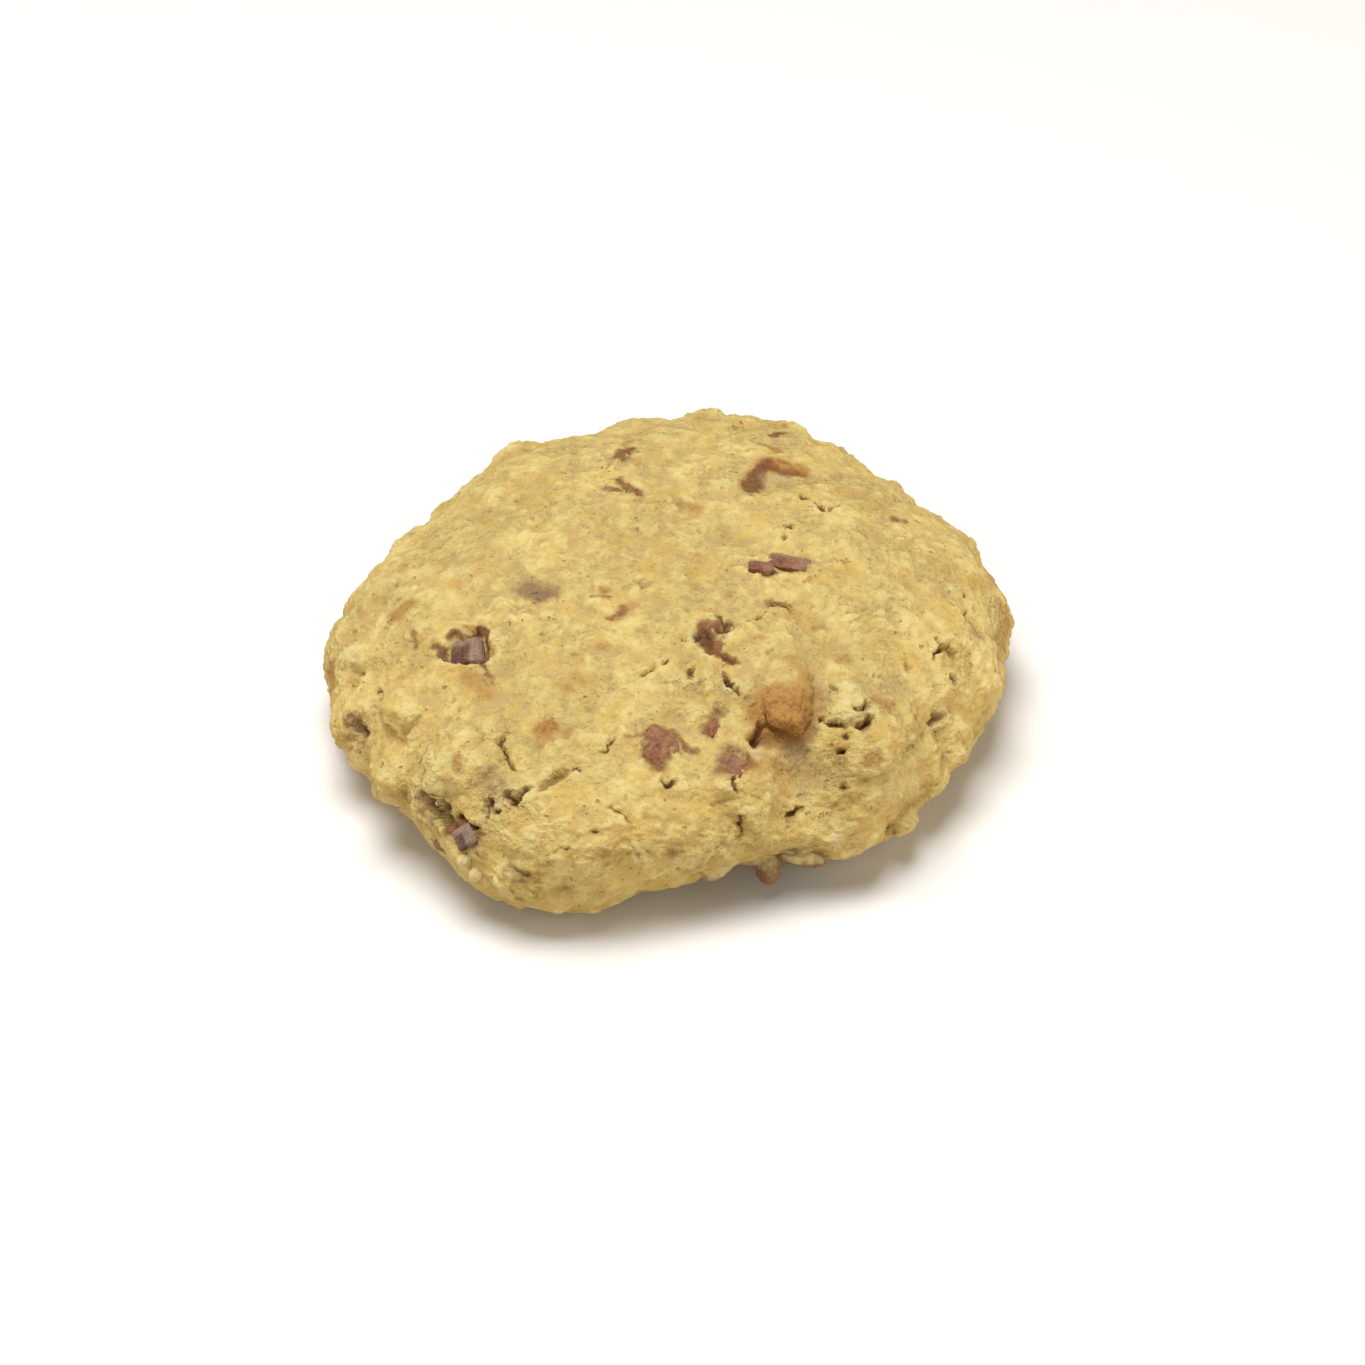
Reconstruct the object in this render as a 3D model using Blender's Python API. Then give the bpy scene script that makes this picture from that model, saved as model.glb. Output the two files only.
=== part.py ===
"""A chunky peanut drop cookie: one solid of dough with its chunks, knob, cracks and crags fused in.

Metres, +Z up. The origin is the middle of the flat foot, and the lip with the open gap faces -Y.
Run with: blender --background --python part.py
"""

import math
from dataclasses import dataclass

import bmesh
import bpy
import numpy as np
from mathutils import Matrix, Vector, noise

MM = 0.001

# Driving dimensions of the whole cookie.
CROWN_HEIGHT = 20.5 * MM  # foot to the top of the crust
EDGE_LEVEL = 7.5 * MM  # height of the widest part of the rim
FOOT_SHARE = 0.82  # foot radius as a share of the rim radius
CROWN_POWER = 3.2  # how flat the crown stays before it rolls over
SHOULDER_POWER = 2.2  # how round the shoulder is
RIM_RADII = (  # rim radius every 15 degrees, anticlockwise from +X, in millimetres
    38.6, 39.3, 38.2, 38.6, 40.8, 40.9, 39.2, 37.8, 37.2, 35.4, 34.8, 36.8,
    39.2, 39.6, 39.2, 40.2, 43.2, 42.2, 38.6, 37.2, 38.1, 37.8, 37.0, 37.8,
)  # fmt: skip

# Triangles: the ball that is shaped into the dough, and what is left of it after thinning.
BALL_SUBDIVISIONS = 7
DOUGH_TRIANGLES = 8200
TRIM = 0.25 * MM  # dough sliced off below to leave one true flat foot
PROFILE_STEPS = 400
WORN_EDGE = 0.17  # chamfer on a chunk's edges, as a share of its sides

DOUGH_COLOUR = (0.67, 0.48, 0.18, 1.0)
DOUGH_ROUGHNESS = 0.75


@dataclass(frozen=True)
class Swell:
    """A broad rise of the crust, or a dip where the height is negative. Millimetres."""

    x: float
    y: float
    reach: float
    height: float


@dataclass(frozen=True)
class Lift:
    """A stretch of the lower edge that curls up off the tray. Millimetres, degrees."""

    angle: float
    spread: float
    rise: float
    tuck: float


@dataclass(frozen=True)
class Lump:
    """A clump of dough that is steep on the side it faces and leans out over it. Millimetres, degrees.

    A lump with no level sits on the crown; otherwise level is the height of its middle on the side wall.
    Below 1 the roundness gives a blunt clump with a crease round it, and above 1 a soft swelling.
    """

    x: float
    y: float
    facing: float
    steep: float
    gentle: float
    half_width: float
    height: float
    overhang: float
    level: float | None = None
    roundness: float = 1.2


@dataclass(frozen=True)
class Crack:
    """A split in the crust along plan points, with one side standing proud by the lip. Millimetres."""

    points: tuple[tuple[float, float], ...]
    width: float
    depth: float
    lip: float = 0.0
    level: float | None = None


@dataclass(frozen=True)
class Chunk:
    """A piece baked into the dough. Sizes in millimetres; proud is how far its top clears the crust."""

    x: float
    y: float
    length: float
    breadth: float
    thickness: float
    turn: float
    proud: float
    level: float | None = None


SWELLS = (
    Swell(-12, 8, 13, 0.7),
    Swell(19, 6, 12, 0.6),
    Swell(8, -14, 8, 0.6),
    Swell(14.5, -30.5, 4.2, -2.3),
    Swell(20.5, -27.5, 4.0, 0.9),
    Swell(-8, -37, 9, 0.8),
    Swell(-22.5, -17.5, 3.6, 0.8),
    Swell(-28, 4, 7, -0.7),
    Swell(-26, -4, 6, 0.7),
    Swell(13.5, 17.0, 3.4, -0.9),
    Swell(-16, -30, 4.5, -0.8),
    Swell(0, 28, 9, 0.6),
    Swell(30, -8, 6, 0.8),
    Swell(31, -20, 4.0, -1.3),
    Swell(-19, 24, 8, 0.7),
    Swell(25, 24, 8, -0.6),
)

LUMPS = (
    # The browned knob on the crown, the plate of crust behind it and the clots beside it.
    Lump(11.5, -15.5, 265, 5.0, 5.0, 6.0, 0.9, 0.2),
    Lump(13.0, -22.4, 270, 3.0, 5.6, 3.9, 3.0, 2.0, roundness=0.7),
    Lump(19.6, -22.0, 285, 2.6, 4.0, 3.0, 1.2, 0.7, roundness=0.8),
    Lump(8.6, -33.0, 250, 3.2, 4.6, 4.4, 1.3, 0.5, roundness=0.9),
    Lump(-3.4, -23.5, 290, 4.0, 5.0, 5.0, 0.6, 0.2),
    # Clumps round the front left, where the crust broke away.
    Lump(-31.0, -25.0, 225, 3.4, 5.0, 4.2, 2.2, 1.0, 9.0, roundness=0.8),
    Lump(-22.8, -29.0, 240, 4.0, 7.0, 4.4, 2.0, 1.2, roundness=0.8),
    Lump(-36.2, -15.0, 205, 3.0, 4.4, 3.2, 1.6, 0.6, 9.5, roundness=0.8),
    Lump(-35.0, -9.5, 190, 2.6, 3.6, 2.8, 1.1, 0.4, 12.5, roundness=0.8),
    Lump(-29.5, -19.5, 230, 2.6, 4.0, 3.2, 1.3, 0.6, roundness=0.8),
    Lump(-25.5, -17.0, 250, 2.6, 3.0, 4.2, 0.9, 0.3, roundness=0.9),
    # The folded right flank below the ridge.
    Lump(23.2, -25.5, 325, 2.6, 7.5, 7.0, 1.9, 1.0, roundness=0.8),
    Lump(32.5, -17.5, 330, 3.0, 4.0, 3.6, 1.2, 0.6, 8.5, roundness=0.8),
    Lump(26.6, -28.0, 300, 2.4, 3.0, 2.6, 1.7, 0.9, 4.5, roundness=0.8),
    Lump(29.5, -23.0, 310, 2.2, 3.4, 2.4, 0.7, 0.4, 7.0, roundness=0.8),
    Lump(34.5, -8.5, 345, 2.6, 4.0, 3.4, 1.1, 0.5, 10.5, roundness=0.9),
    Lump(37.0, 4.5, 5, 2.6, 4.0, 3.6, 1.0, 0.4, 9.0, roundness=0.9),
    Lump(34.0, 14.0, 20, 2.4, 4.0, 3.4, 0.9, 0.4, 11.0, roundness=0.9),
    # Bumps that stand out of the back rim.
    Lump(4.4, 37.0, 90, 2.4, 3.0, 2.6, 1.2, 0.3, 14.0, roundness=0.8),
    Lump(-19.6, 29.8, 130, 2.2, 4.4, 4.2, 1.5, 0.4, 14.0, roundness=0.8),
    Lump(14.5, 37.0, 75, 2.4, 4.0, 3.4, 1.0, 0.3, 13.0, roundness=0.9),
    Lump(-31.0, 14.5, 150, 2.4, 4.0, 3.4, 0.7, 0.3, 12.5, roundness=0.9),
    Lump(27.5, 25.5, 45, 2.4, 4.0, 3.0, 0.5, 0.3, 12.0, roundness=0.9),
    # The drooping front lip.
    Lump(-14.0, -36.5, 262, 3.4, 6.0, 6.5, 0.9, 0.5, 6.5),
    Lump(20.0, -32.0, 300, 3.2, 5.0, 5.0, 1.0, 0.5, 6.5, roundness=0.9),
)

LIFTS = (
    Lift(288, 12, 3.8, 1.2),
    Lift(269, 9, 1.5, 0.3),
    Lift(222, 9, 2.0, 0.8),
)

CRACKS = (
    Crack(((5.0, -11.4), (8.5, -10.3), (11.1, -8.2), (13.6, -9.1), (15.6, -11.8)), 0.7, 1.3, -0.7),
    Crack(((6.2, -10.5), (4.6, -12.9), (3.9, -14.3), (4.8, -16.3), (7.3, -17.8)), 1.1, 1.5),
    Crack(((5.8, -19.6), (6.5, -21.5), (8.0, -23.0), (9.6, -24.2)), 0.7, 1.4, 0.5),
    Crack(((-3.5, -20.6), (-2.0, -19.6), (-0.6, -18.5), (0.0, -17.2)), 0.5, 1.0, 0.3),
    Crack(((15.7, -24.6), (17.6, -25.8), (20.2, -24.3), (21.2, -22.2), (24.3, -20.8)), 0.9, 2.0, 0.5),
    Crack(((18.6, -27.4), (18.6, -29.4)), 0.5, 1.3),
    Crack(((-17.5, -26.8), (-18.2, -28.8), (-17.4, -30.8), (-15.9, -32.2)), 0.7, 1.4, 0.4),
    Crack(((-17.6, -34.0), (-15.0, -34.8), (-12.7, -34.4), (-9.6, -32.4)), 0.8, 1.5, -0.6),
    Crack(((-22.5, -35.0), (-20.2, -35.2), (-17.6, -34.6)), 0.9, 1.8, -0.4),
    Crack(((-9.2, -31.2), (-6.0, -29.4), (-3.0, -28.0)), 0.5, 0.7, -0.3),
    Crack(((6.2, -31.6), (6.8, -33.2), (8.0, -34.2)), 0.6, 1.1, 0.4),
    Crack(((11.4, -34.0), (12.9, -33.4), (13.6, -32.2)), 0.6, 1.4, 0.3),
    Crack(((26.6, -22.4), (28.0, -19.9), (31.0, -17.0)), 1.1, 1.6, 0.6),
    Crack(((27.8, -9.0), (28.6, -11.0), (27.8, -13.0)), 0.5, 0.9, 0.3),
    Crack(((14.6, 15.2), (17.0, 13.0), (20.6, 13.9)), 0.7, 0.9, -0.4),
    Crack(((-27.6, -31.0), (-25.6, -32.6), (-24.4, -35.0)), 1.6, 2.6, 0.0, 7.5),
    Crack(((-22.0, 33.0), (-17.5, 33.4), (-12.0, 34.5)), 0.8, 1.4, 0.5, 10.0),
    Crack(((30.0, 20.0), (33.0, 15.5)), 0.8, 1.3, 0.4, 11.0),
)

CHUNKS = (
    Chunk(-22.2, -14.0, 4.2, 3.8, 3.2, 4, -0.2),
    Chunk(-25.0, -13.6, 1.8, 2.2, 2.0, 20, 0.1),
    Chunk(11.2, -1.2, 2.8, 1.6, 1.4, 12, 0.3),
    Chunk(14.0, -0.3, 3.8, 1.6, 1.4, -14, 0.3),
    Chunk(9.9, 17.6, 5.6, 1.9, 2.4, 62, 0.3),
    Chunk(13.4, 20.2, 4.8, 1.7, 2.4, -12, 0.3),
    Chunk(-0.9, -29.2, 3.6, 3.4, 2.6, 20, 0.3),
    Chunk(6.9, -30.6, 3.0, 3.6, 2.6, 65, 0.3),
    Chunk(4.9, -25.9, 1.8, 3.4, 2.2, -12, 0.3),
    Chunk(4.4, -15.0, 2.0, 4.6, 2.4, -28, -0.2),
    Chunk(-22.6, -34.6, 3.0, 2.8, 2.6, 30, 0.4, 9.5),
    Chunk(-25.4, -33.2, 1.8, 3.0, 2.0, 40, 0.5, 5.5),
    Chunk(-5.5, 21.9, 2.6, 1.8, 1.8, 30, 0.2),
    Chunk(-5.0, 15.4, 2.2, 1.4, 1.6, -20, 0.2),
    Chunk(38.0, 6.6, 2.0, 2.6, 1.8, 10, 0.2, 10.5),
    Chunk(11.4, -34.2, 3.6, 3.0, 3.0, 10, 0.7, 2.2),
    Chunk(-33.0, 21.5, 3.2, 2.6, 2.4, 50, 0.4, 10.5),
    Chunk(20.5, 33.0, 3.0, 2.6, 2.4, 15, 0.2, 8.5),
    Chunk(-12.0, 36.5, 3.0, 2.6, 2.4, 35, 0.4, 8.0),
)

# Small rounded crumbs of dough that cling to the front left corner and under the lip.
CRUMBS = (
    Chunk(-21.9, -37.2, 2.2, 2.0, 1.8, 0, 0.8, 7.5),
    Chunk(-20.4, -38.4, 1.9, 1.7, 1.6, 0, 0.7, 5.8),
    Chunk(5.4, -35.6, 3.6, 1.8, 1.7, 15, 0.6, 5.0),
    Chunk(9.8, -33.6, 4.4, 4.6, 5.0, 10, 2.6, 2.0),
)


def rim_radius(angle: np.ndarray) -> np.ndarray:
    """Rim radius at each angle, on a smooth closed curve through the named radii."""
    radii = np.array(RIM_RADII) * MM
    count = len(radii)
    place = (angle % (2 * math.pi)) / (2 * math.pi) * count
    first = np.floor(place).astype(int)
    t = place - first
    a, b, c, d = (radii[(first + k) % count] for k in (-1, 0, 1, 2))
    return 0.5 * (2 * b + (c - a) * t + (2 * a - 5 * b + 4 * c - d) * t**2 + (3 * b - a - 3 * c + d) * t**3)


def side_profile() -> tuple[np.ndarray, np.ndarray]:
    """The half section from the middle of the crown to the middle of the foot, as share of radius and height."""
    turn = np.linspace(0, math.pi / 2, PROFILE_STEPS)
    crown_share = np.sin(turn) ** (2 / CROWN_POWER)
    crown_level = EDGE_LEVEL + (CROWN_HEIGHT - EDGE_LEVEL) * np.cos(turn) ** (2 / SHOULDER_POWER)
    under_share = FOOT_SHARE + (1 - FOOT_SHARE) * np.cos(turn)
    under_level = EDGE_LEVEL * (1 - np.sin(turn)) - TRIM * np.sin(turn)
    foot_share = np.linspace(FOOT_SHARE, 0, PROFILE_STEPS)
    foot_level = np.full(PROFILE_STEPS, -TRIM)
    share = np.concatenate([crown_share, under_share[1:], foot_share[1:]])
    level = np.concatenate([crown_level, under_level[1:], foot_level[1:]])
    return share, level


def fold_ball_into_cookie(ball: np.ndarray) -> np.ndarray:
    """Moves each point of a unit ball to the place on the cookie with the same share of surface above it."""
    share, level = side_profile()
    radius = share * np.mean(RIM_RADII) * MM
    strip = np.hypot(np.diff(radius), np.diff(level)) * (radius[1:] + radius[:-1]) / 2
    covered = np.concatenate([[0], np.cumsum(strip)])
    covered /= covered[-1]
    above = (1 - ball[:, 2]) / 2
    angle = np.arctan2(ball[:, 1], ball[:, 0])
    out = rim_radius(angle) * np.interp(above, covered, share)
    return np.stack([out * np.cos(angle), out * np.sin(angle), np.interp(above, covered, level)], axis=1)


def smooth_step(low: float, high: float, value: np.ndarray) -> np.ndarray:
    """0 below low, 1 above high, and a smooth ramp between."""
    t = np.clip((value - low) / (high - low), 0, 1)
    return t * t * (3 - 2 * t)


class Skin:
    """The surface of the dough as arrays of points and normals, with the moves that shape it."""

    def __init__(self, mesh: bpy.types.Mesh) -> None:
        self.mesh = mesh
        self.points = self._read("co")
        self.normals = self._read("normal")

    def _read(self, name: str) -> np.ndarray:
        values = np.empty(len(self.mesh.vertices) * 3)
        self.mesh.vertices.foreach_get(name, values)
        return values.reshape(-1, 3)

    def move(self, offset: np.ndarray) -> None:
        """Adds the offset to every point and reads the normals again."""
        self.mesh.vertices.foreach_set("co", (self.points + offset).ravel())
        self.mesh.update()
        self.points = self._read("co")
        self.normals = self._read("normal")

    def nearest(self, x: float, y: float, level: float | None) -> int:
        """The index of the point at a place in plan, on the crown or at a level of the side wall."""
        gap = (self.points[:, 0] - x * MM) ** 2 + (self.points[:, 1] - y * MM) ** 2
        if level is None:
            gap = gap + np.where(self.normals[:, 2] > 0.05, 0, 1)
        else:
            gap = gap + (self.points[:, 2] - level * MM) ** 2
        return int(np.argmin(gap))

    def frame(self, x: float, y: float, level: float | None, facing: float) -> tuple[np.ndarray, ...]:
        """Centre, forward, across and outward directions on the skin at a place, with forward turned in plan."""
        at = self.nearest(x, y, level)
        out = self.normals[at]
        turn = math.radians(facing)
        plan = np.array([math.cos(turn), math.sin(turn), 0.0])
        forward = plan - out * (plan @ out)
        if np.linalg.norm(forward) < 0.2:
            forward = np.array([0, 0, -1.0]) + out * out[2]
        forward /= np.linalg.norm(forward)
        return self.points[at], forward, np.cross(out, forward), out


def swell_offset(skin: Skin) -> np.ndarray:
    """Broad rises and dips of the crust, straight out of the skin."""
    rise = np.zeros(len(skin.points))
    for swell in SWELLS:
        gap = np.hypot(skin.points[:, 0] - swell.x * MM, skin.points[:, 1] - swell.y * MM)
        rise += swell.height * MM * np.exp(-((gap / (swell.reach * MM)) ** 2))
    crown = smooth_step(0.0, 0.5, skin.normals[:, 2])
    return skin.normals * (rise * crown)[:, None]


def lift_offset(skin: Skin) -> np.ndarray:
    """Stretches of the lower edge that curl up off the tray and tuck in."""
    x, y, z = skin.points.T
    angle = np.degrees(np.arctan2(y, x))
    plan = np.stack([x, y, np.zeros_like(x)], axis=1)
    reach = np.linalg.norm(plan, axis=1)
    edge = smooth_step(0.55, 0.92, reach / rim_radius(np.radians(angle)))
    low = 1 - smooth_step(0.0, 1.5 * EDGE_LEVEL, z)
    offset = np.zeros_like(skin.points)
    for lift in LIFTS:
        away = (angle - lift.angle + 180) % 360 - 180
        strength = np.exp(-((away / lift.spread) ** 2)) * edge * low
        inward = -plan / np.maximum(reach, MM)[:, None] * lift.tuck
        offset += strength[:, None] * (inward + np.array([0, 0, lift.rise])) * MM
    return offset


def lump_offset(skin: Skin) -> np.ndarray:
    """Clumps that rise out of the skin and lean over their steep side."""
    offset = np.zeros_like(skin.points)
    for lump in LUMPS:
        centre, forward, across, out = skin.frame(lump.x, lump.y, lump.level, lump.facing)
        local = skin.points - centre
        ahead = local @ forward
        reach = np.where(ahead > 0, lump.steep, lump.gentle) * MM
        inside = (ahead / reach) ** 2 + (local @ across / (lump.half_width * MM)) ** 2
        inside += (local @ out / (2 * lump.half_width * MM)) ** 2
        strength = np.clip(1 - inside, 0, 1) ** lump.roundness
        offset += strength[:, None] * (out * lump.height + forward * lump.overhang) * MM
    return offset


def crack_line(skin: Skin, crack: Crack) -> np.ndarray:
    """The crack's points laid on the skin, with small zigzags between them."""
    laid = [skin.points[skin.nearest(x, y, crack.level)] for x, y in crack.points]
    line = []
    for start, end in zip(laid[:-1], laid[1:]):
        for t in np.linspace(0, 1, 6, endpoint=False):
            spot = start + (end - start) * t
            stray = noise.noise_vector(Vector(spot) / (1.3 * MM))
            line.append(spot + np.array(stray) * 0.35 * MM)
    return np.array([*line, laid[-1]])


def crack_offset(skin: Skin) -> np.ndarray:
    """Grooves along the cracks, with one side of each standing proud."""
    depth = np.zeros(len(skin.points))
    for crack in CRACKS:
        line = crack_line(skin, crack)
        best = np.full(len(skin.points), np.inf)
        side = np.zeros(len(skin.points))
        along = np.zeros(len(skin.points))
        for k, (start, end) in enumerate(zip(line[:-1], line[1:])):
            step = end - start
            t = np.clip((skin.points - start) @ step / (step @ step), 0, 1)
            away = skin.points - start - t[:, None] * step
            gap = np.linalg.norm(away, axis=1)
            closer = gap < best
            best = np.where(closer, gap, best)
            turned = np.cross(np.broadcast_to(step, away.shape), away)
            side = np.where(closer, np.sign(np.sum(turned * skin.normals, axis=1)), side)
            along = np.where(closer, (k + t) / (len(line) - 1), along)
        ends = np.sqrt(np.clip(np.sin(math.pi * np.clip(along, 0.02, 0.98)), 0, 1))
        groove = np.exp(-((best / (crack.width * MM)) ** 2)) * ends
        raised = np.exp(-best / (2.8 * MM)) * ends * (side > 0)
        lowered = np.exp(-best / (2.8 * MM)) * ends * (side < 0)
        lip = raised * max(crack.lip, 0) + lowered * max(-crack.lip, 0)
        depth += (lip * (1 - groove) - crack.depth * groove) * MM
    return skin.normals * depth[:, None]


def crag_offset(skin: Skin) -> np.ndarray:
    """Lumpy dough: rounded clots with creases between, bolder on the broken flanks than on the crown."""
    flank = 1 - smooth_step(0.55, 0.95, skin.normals[:, 2])
    height = np.empty(len(skin.points))
    for k, point in enumerate(skin.points):
        spot = Vector(point) / MM
        warp = noise.noise_vector(spot / 5.0) * 0.45
        clot = noise.voronoi(spot / 4.6 + warp)[0][0]
        small = noise.voronoi(spot / 2.3 + warp)[0][0]
        wave = noise.noise(spot / 7.5)
        height[k] = wave * 0.8 - clot**2 * 1.5 - small**2 * 0.6
    strength = (0.62 + 0.38 * flank) * MM
    return skin.normals * ((height - height.mean()) * strength)[:, None]


def foot_fade(skin: Skin) -> np.ndarray:
    """Keeps the tray side flat: 0 on the foot, 1 above the lower edge."""
    return smooth_step(0.0, 2.5 * MM, skin.points[:, 2])[:, None]


def ball_mesh(name: str) -> bpy.types.Mesh:
    """A finely divided unit ball."""
    bm = bmesh.new()
    bmesh.ops.create_icosphere(bm, subdivisions=BALL_SUBDIVISIONS, radius=1.0)
    mesh = bpy.data.meshes.new(name)
    bm.to_mesh(mesh)
    bm.free()
    return mesh


def shaped_dough() -> tuple[bpy.types.Object, Skin]:
    """The dough as a fine mesh, and its skin before the crags, on which the chunks are seated."""
    mesh = ball_mesh("cookie")
    ball = np.empty(len(mesh.vertices) * 3)
    mesh.vertices.foreach_get("co", ball)
    mesh.vertices.foreach_set("co", fold_ball_into_cookie(ball.reshape(-1, 3)).ravel())
    mesh.update()
    skin = Skin(mesh)
    for shape in (swell_offset, lump_offset, crack_offset, crag_offset):
        skin.move(shape(skin) * foot_fade(skin))
    skin.move(lift_offset(skin))
    dough = bpy.data.objects.new("cookie", mesh)
    bpy.context.scene.collection.objects.link(dough)
    return dough, skin


def apply_modifiers(target: bpy.types.Object) -> None:
    """Makes the object's evaluated shape its own mesh and clears its modifiers."""
    graph = bpy.context.evaluated_depsgraph_get()
    baked = bpy.data.meshes.new_from_object(target.evaluated_get(graph))
    target.modifiers.clear()
    old = target.data
    target.data = baked
    bpy.data.meshes.remove(old)


def thin(target: bpy.types.Object, triangles: int) -> None:
    """Thins the mesh where it is smooth and keeps its triangles where it is craggy."""
    decimate = target.modifiers.new("thin", "DECIMATE")
    decimate.ratio = triangles / len(target.data.polygons)
    apply_modifiers(target)


def slice_foot(target: bpy.types.Object) -> None:
    """Cuts the underside off at the origin's level and closes it with one flat face."""
    bm = bmesh.new()
    bm.from_mesh(target.data)
    geometry = bm.verts[:] + bm.edges[:] + bm.faces[:]
    cut = bmesh.ops.bisect_plane(
        bm, geom=geometry, plane_co=(0, 0, 0), plane_no=(0, 0, -1), clear_outer=True
    )
    rim = [item for item in cut["geom_cut"] if isinstance(item, bmesh.types.BMEdge)]
    bmesh.ops.contextual_create(bm, geom=rim)
    bmesh.ops.triangulate(bm, faces=bm.faces[:])
    bmesh.ops.recalc_face_normals(bm, faces=bm.faces[:])
    bm.to_mesh(target.data)
    bm.free()


def centre_in_plan(target: bpy.types.Object) -> None:
    """Brings the middle of the outline to the origin."""
    corners = [Vector(corner) for corner in target.bound_box]
    middle = sum(corners, Vector()) / len(corners)
    target.data.transform(Matrix.Translation((-middle.x, -middle.y, 0)))


def seated(piece: Chunk, skin: Skin) -> Matrix:
    """Where a piece sits: its top clears the skin by proud and its faces follow the skin."""
    centre, forward, across, out = skin.frame(piece.x, piece.y, piece.level, piece.turn)
    middle = centre + out * (piece.proud - piece.thickness / 2) * MM
    axes = Matrix((forward, across, out)).transposed()
    return Matrix.Translation(middle) @ axes.to_4x4()


def add_chunk(name: str, piece: Chunk, skin: Skin, home: bpy.types.Collection) -> None:
    """A broken block with worn edges, its sides each a little out of square."""
    bm = bmesh.new()
    bmesh.ops.create_cube(bm, size=1.0)
    bmesh.ops.bevel(bm, geom=bm.edges[:], offset=WORN_EDGE, segments=1, affect="EDGES")
    size = Vector((piece.length, piece.breadth, piece.thickness)) * MM
    for vert in bm.verts:
        stray = noise.noise_vector(vert.co * 1.6 + Vector((piece.x, piece.y, 0)))
        vert.co = (vert.co + stray * 0.1) * size
    bmesh.ops.transform(bm, matrix=seated(piece, skin), verts=bm.verts[:])
    link_shape(name, bm, home)


def add_crumb(name: str, piece: Chunk, skin: Skin, home: bpy.types.Collection) -> None:
    """A rounded crumb of dough."""
    bm = bmesh.new()
    bmesh.ops.create_icosphere(bm, subdivisions=2, radius=0.5)
    size = Vector((piece.length, piece.breadth, piece.thickness)) * MM
    for vert in bm.verts:
        stray = noise.noise_vector(vert.co * 2.2 + Vector((piece.x, piece.y, 0)))
        vert.co = (vert.co + stray * 0.08) * size
    bmesh.ops.transform(bm, matrix=seated(piece, skin), verts=bm.verts[:])
    link_shape(name, bm, home)


def link_shape(name: str, bm: bmesh.types.BMesh, home: bpy.types.Collection) -> None:
    """Stores the shape as a triangle mesh and puts its object in the collection."""
    bmesh.ops.triangulate(bm, faces=bm.faces[:])
    bmesh.ops.recalc_face_normals(bm, faces=bm.faces[:])
    mesh = bpy.data.meshes.new(name)
    bm.to_mesh(mesh)
    bm.free()
    home.objects.link(bpy.data.objects.new(name, mesh))


def fuse(target: bpy.types.Object, pieces: bpy.types.Collection) -> None:
    """Joins every piece of the collection to the target as one solid and removes the pieces."""
    union = target.modifiers.new("fuse", "BOOLEAN")
    union.operation = "UNION"
    union.operand_type = "COLLECTION"
    union.collection = pieces
    union.solver = "EXACT"
    apply_modifiers(target)
    for piece in list(pieces.objects):
        bpy.data.objects.remove(piece)
    bpy.data.collections.remove(pieces)


def dough_material() -> bpy.types.Material:
    """Pale golden baked dough."""
    material = bpy.data.materials.new("baked_dough")
    material.use_nodes = True
    shader = material.node_tree.nodes["Principled BSDF"]
    shader.inputs["Base Color"].default_value = DOUGH_COLOUR
    shader.inputs["Roughness"].default_value = DOUGH_ROUGHNESS
    shader.inputs["Metallic"].default_value = 0.0
    return material


def main() -> None:
    """Builds the cookie as one solid."""
    for old in list(bpy.data.objects):
        bpy.data.objects.remove(old)
    dough, skin = shaped_dough()
    pieces = bpy.data.collections.new("pieces")
    bpy.context.scene.collection.children.link(pieces)
    for k, piece in enumerate(CHUNKS):
        add_chunk(f"chunk_{k}", piece, skin, pieces)
    for k, piece in enumerate(CRUMBS):
        add_crumb(f"crumb_{k}", piece, skin, pieces)
    thin(dough, DOUGH_TRIANGLES)
    fuse(dough, pieces)
    slice_foot(dough)
    centre_in_plan(dough)
    dough.data.materials.clear()
    dough.data.materials.append(dough_material())
    dough.data.shade_smooth()


main()
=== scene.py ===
"""Looks of a chunky peanut drop cookie: craggy baked dough, the nut chunks set in it, crumbs and a studio.

Shapes are worked out in millimetres and stored in metres. +Z is up out of the crust and the lip with the
open gap below it faces -Y.
"""

import logging
import math
from collections.abc import Iterable
from dataclasses import dataclass, field
from enum import Enum
from typing import Any

import bmesh
import bpy
import numpy as np
from mathutils import Matrix, Vector, noise


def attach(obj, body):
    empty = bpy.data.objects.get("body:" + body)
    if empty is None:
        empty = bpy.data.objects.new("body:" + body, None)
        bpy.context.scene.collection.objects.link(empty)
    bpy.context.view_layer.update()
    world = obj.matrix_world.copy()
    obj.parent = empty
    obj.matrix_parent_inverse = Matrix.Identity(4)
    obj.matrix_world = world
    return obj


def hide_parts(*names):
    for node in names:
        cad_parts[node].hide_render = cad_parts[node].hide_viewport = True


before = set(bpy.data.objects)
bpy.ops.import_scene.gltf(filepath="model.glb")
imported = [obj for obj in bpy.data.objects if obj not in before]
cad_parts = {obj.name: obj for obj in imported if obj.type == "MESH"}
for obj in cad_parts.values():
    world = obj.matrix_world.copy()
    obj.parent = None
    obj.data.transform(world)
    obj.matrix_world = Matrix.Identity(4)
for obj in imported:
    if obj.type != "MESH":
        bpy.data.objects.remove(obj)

LOG = logging.getLogger("cookie")
MM = 0.001
NOISE_SEED = 2  # fixes the noise fields, so that every run gives the same crust

Array = np.ndarray
Colour = tuple[float, float, float]
Point = tuple[float, float]  # a place in plan


# ---- Named features of the crust, in millimetres and degrees ----


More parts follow.
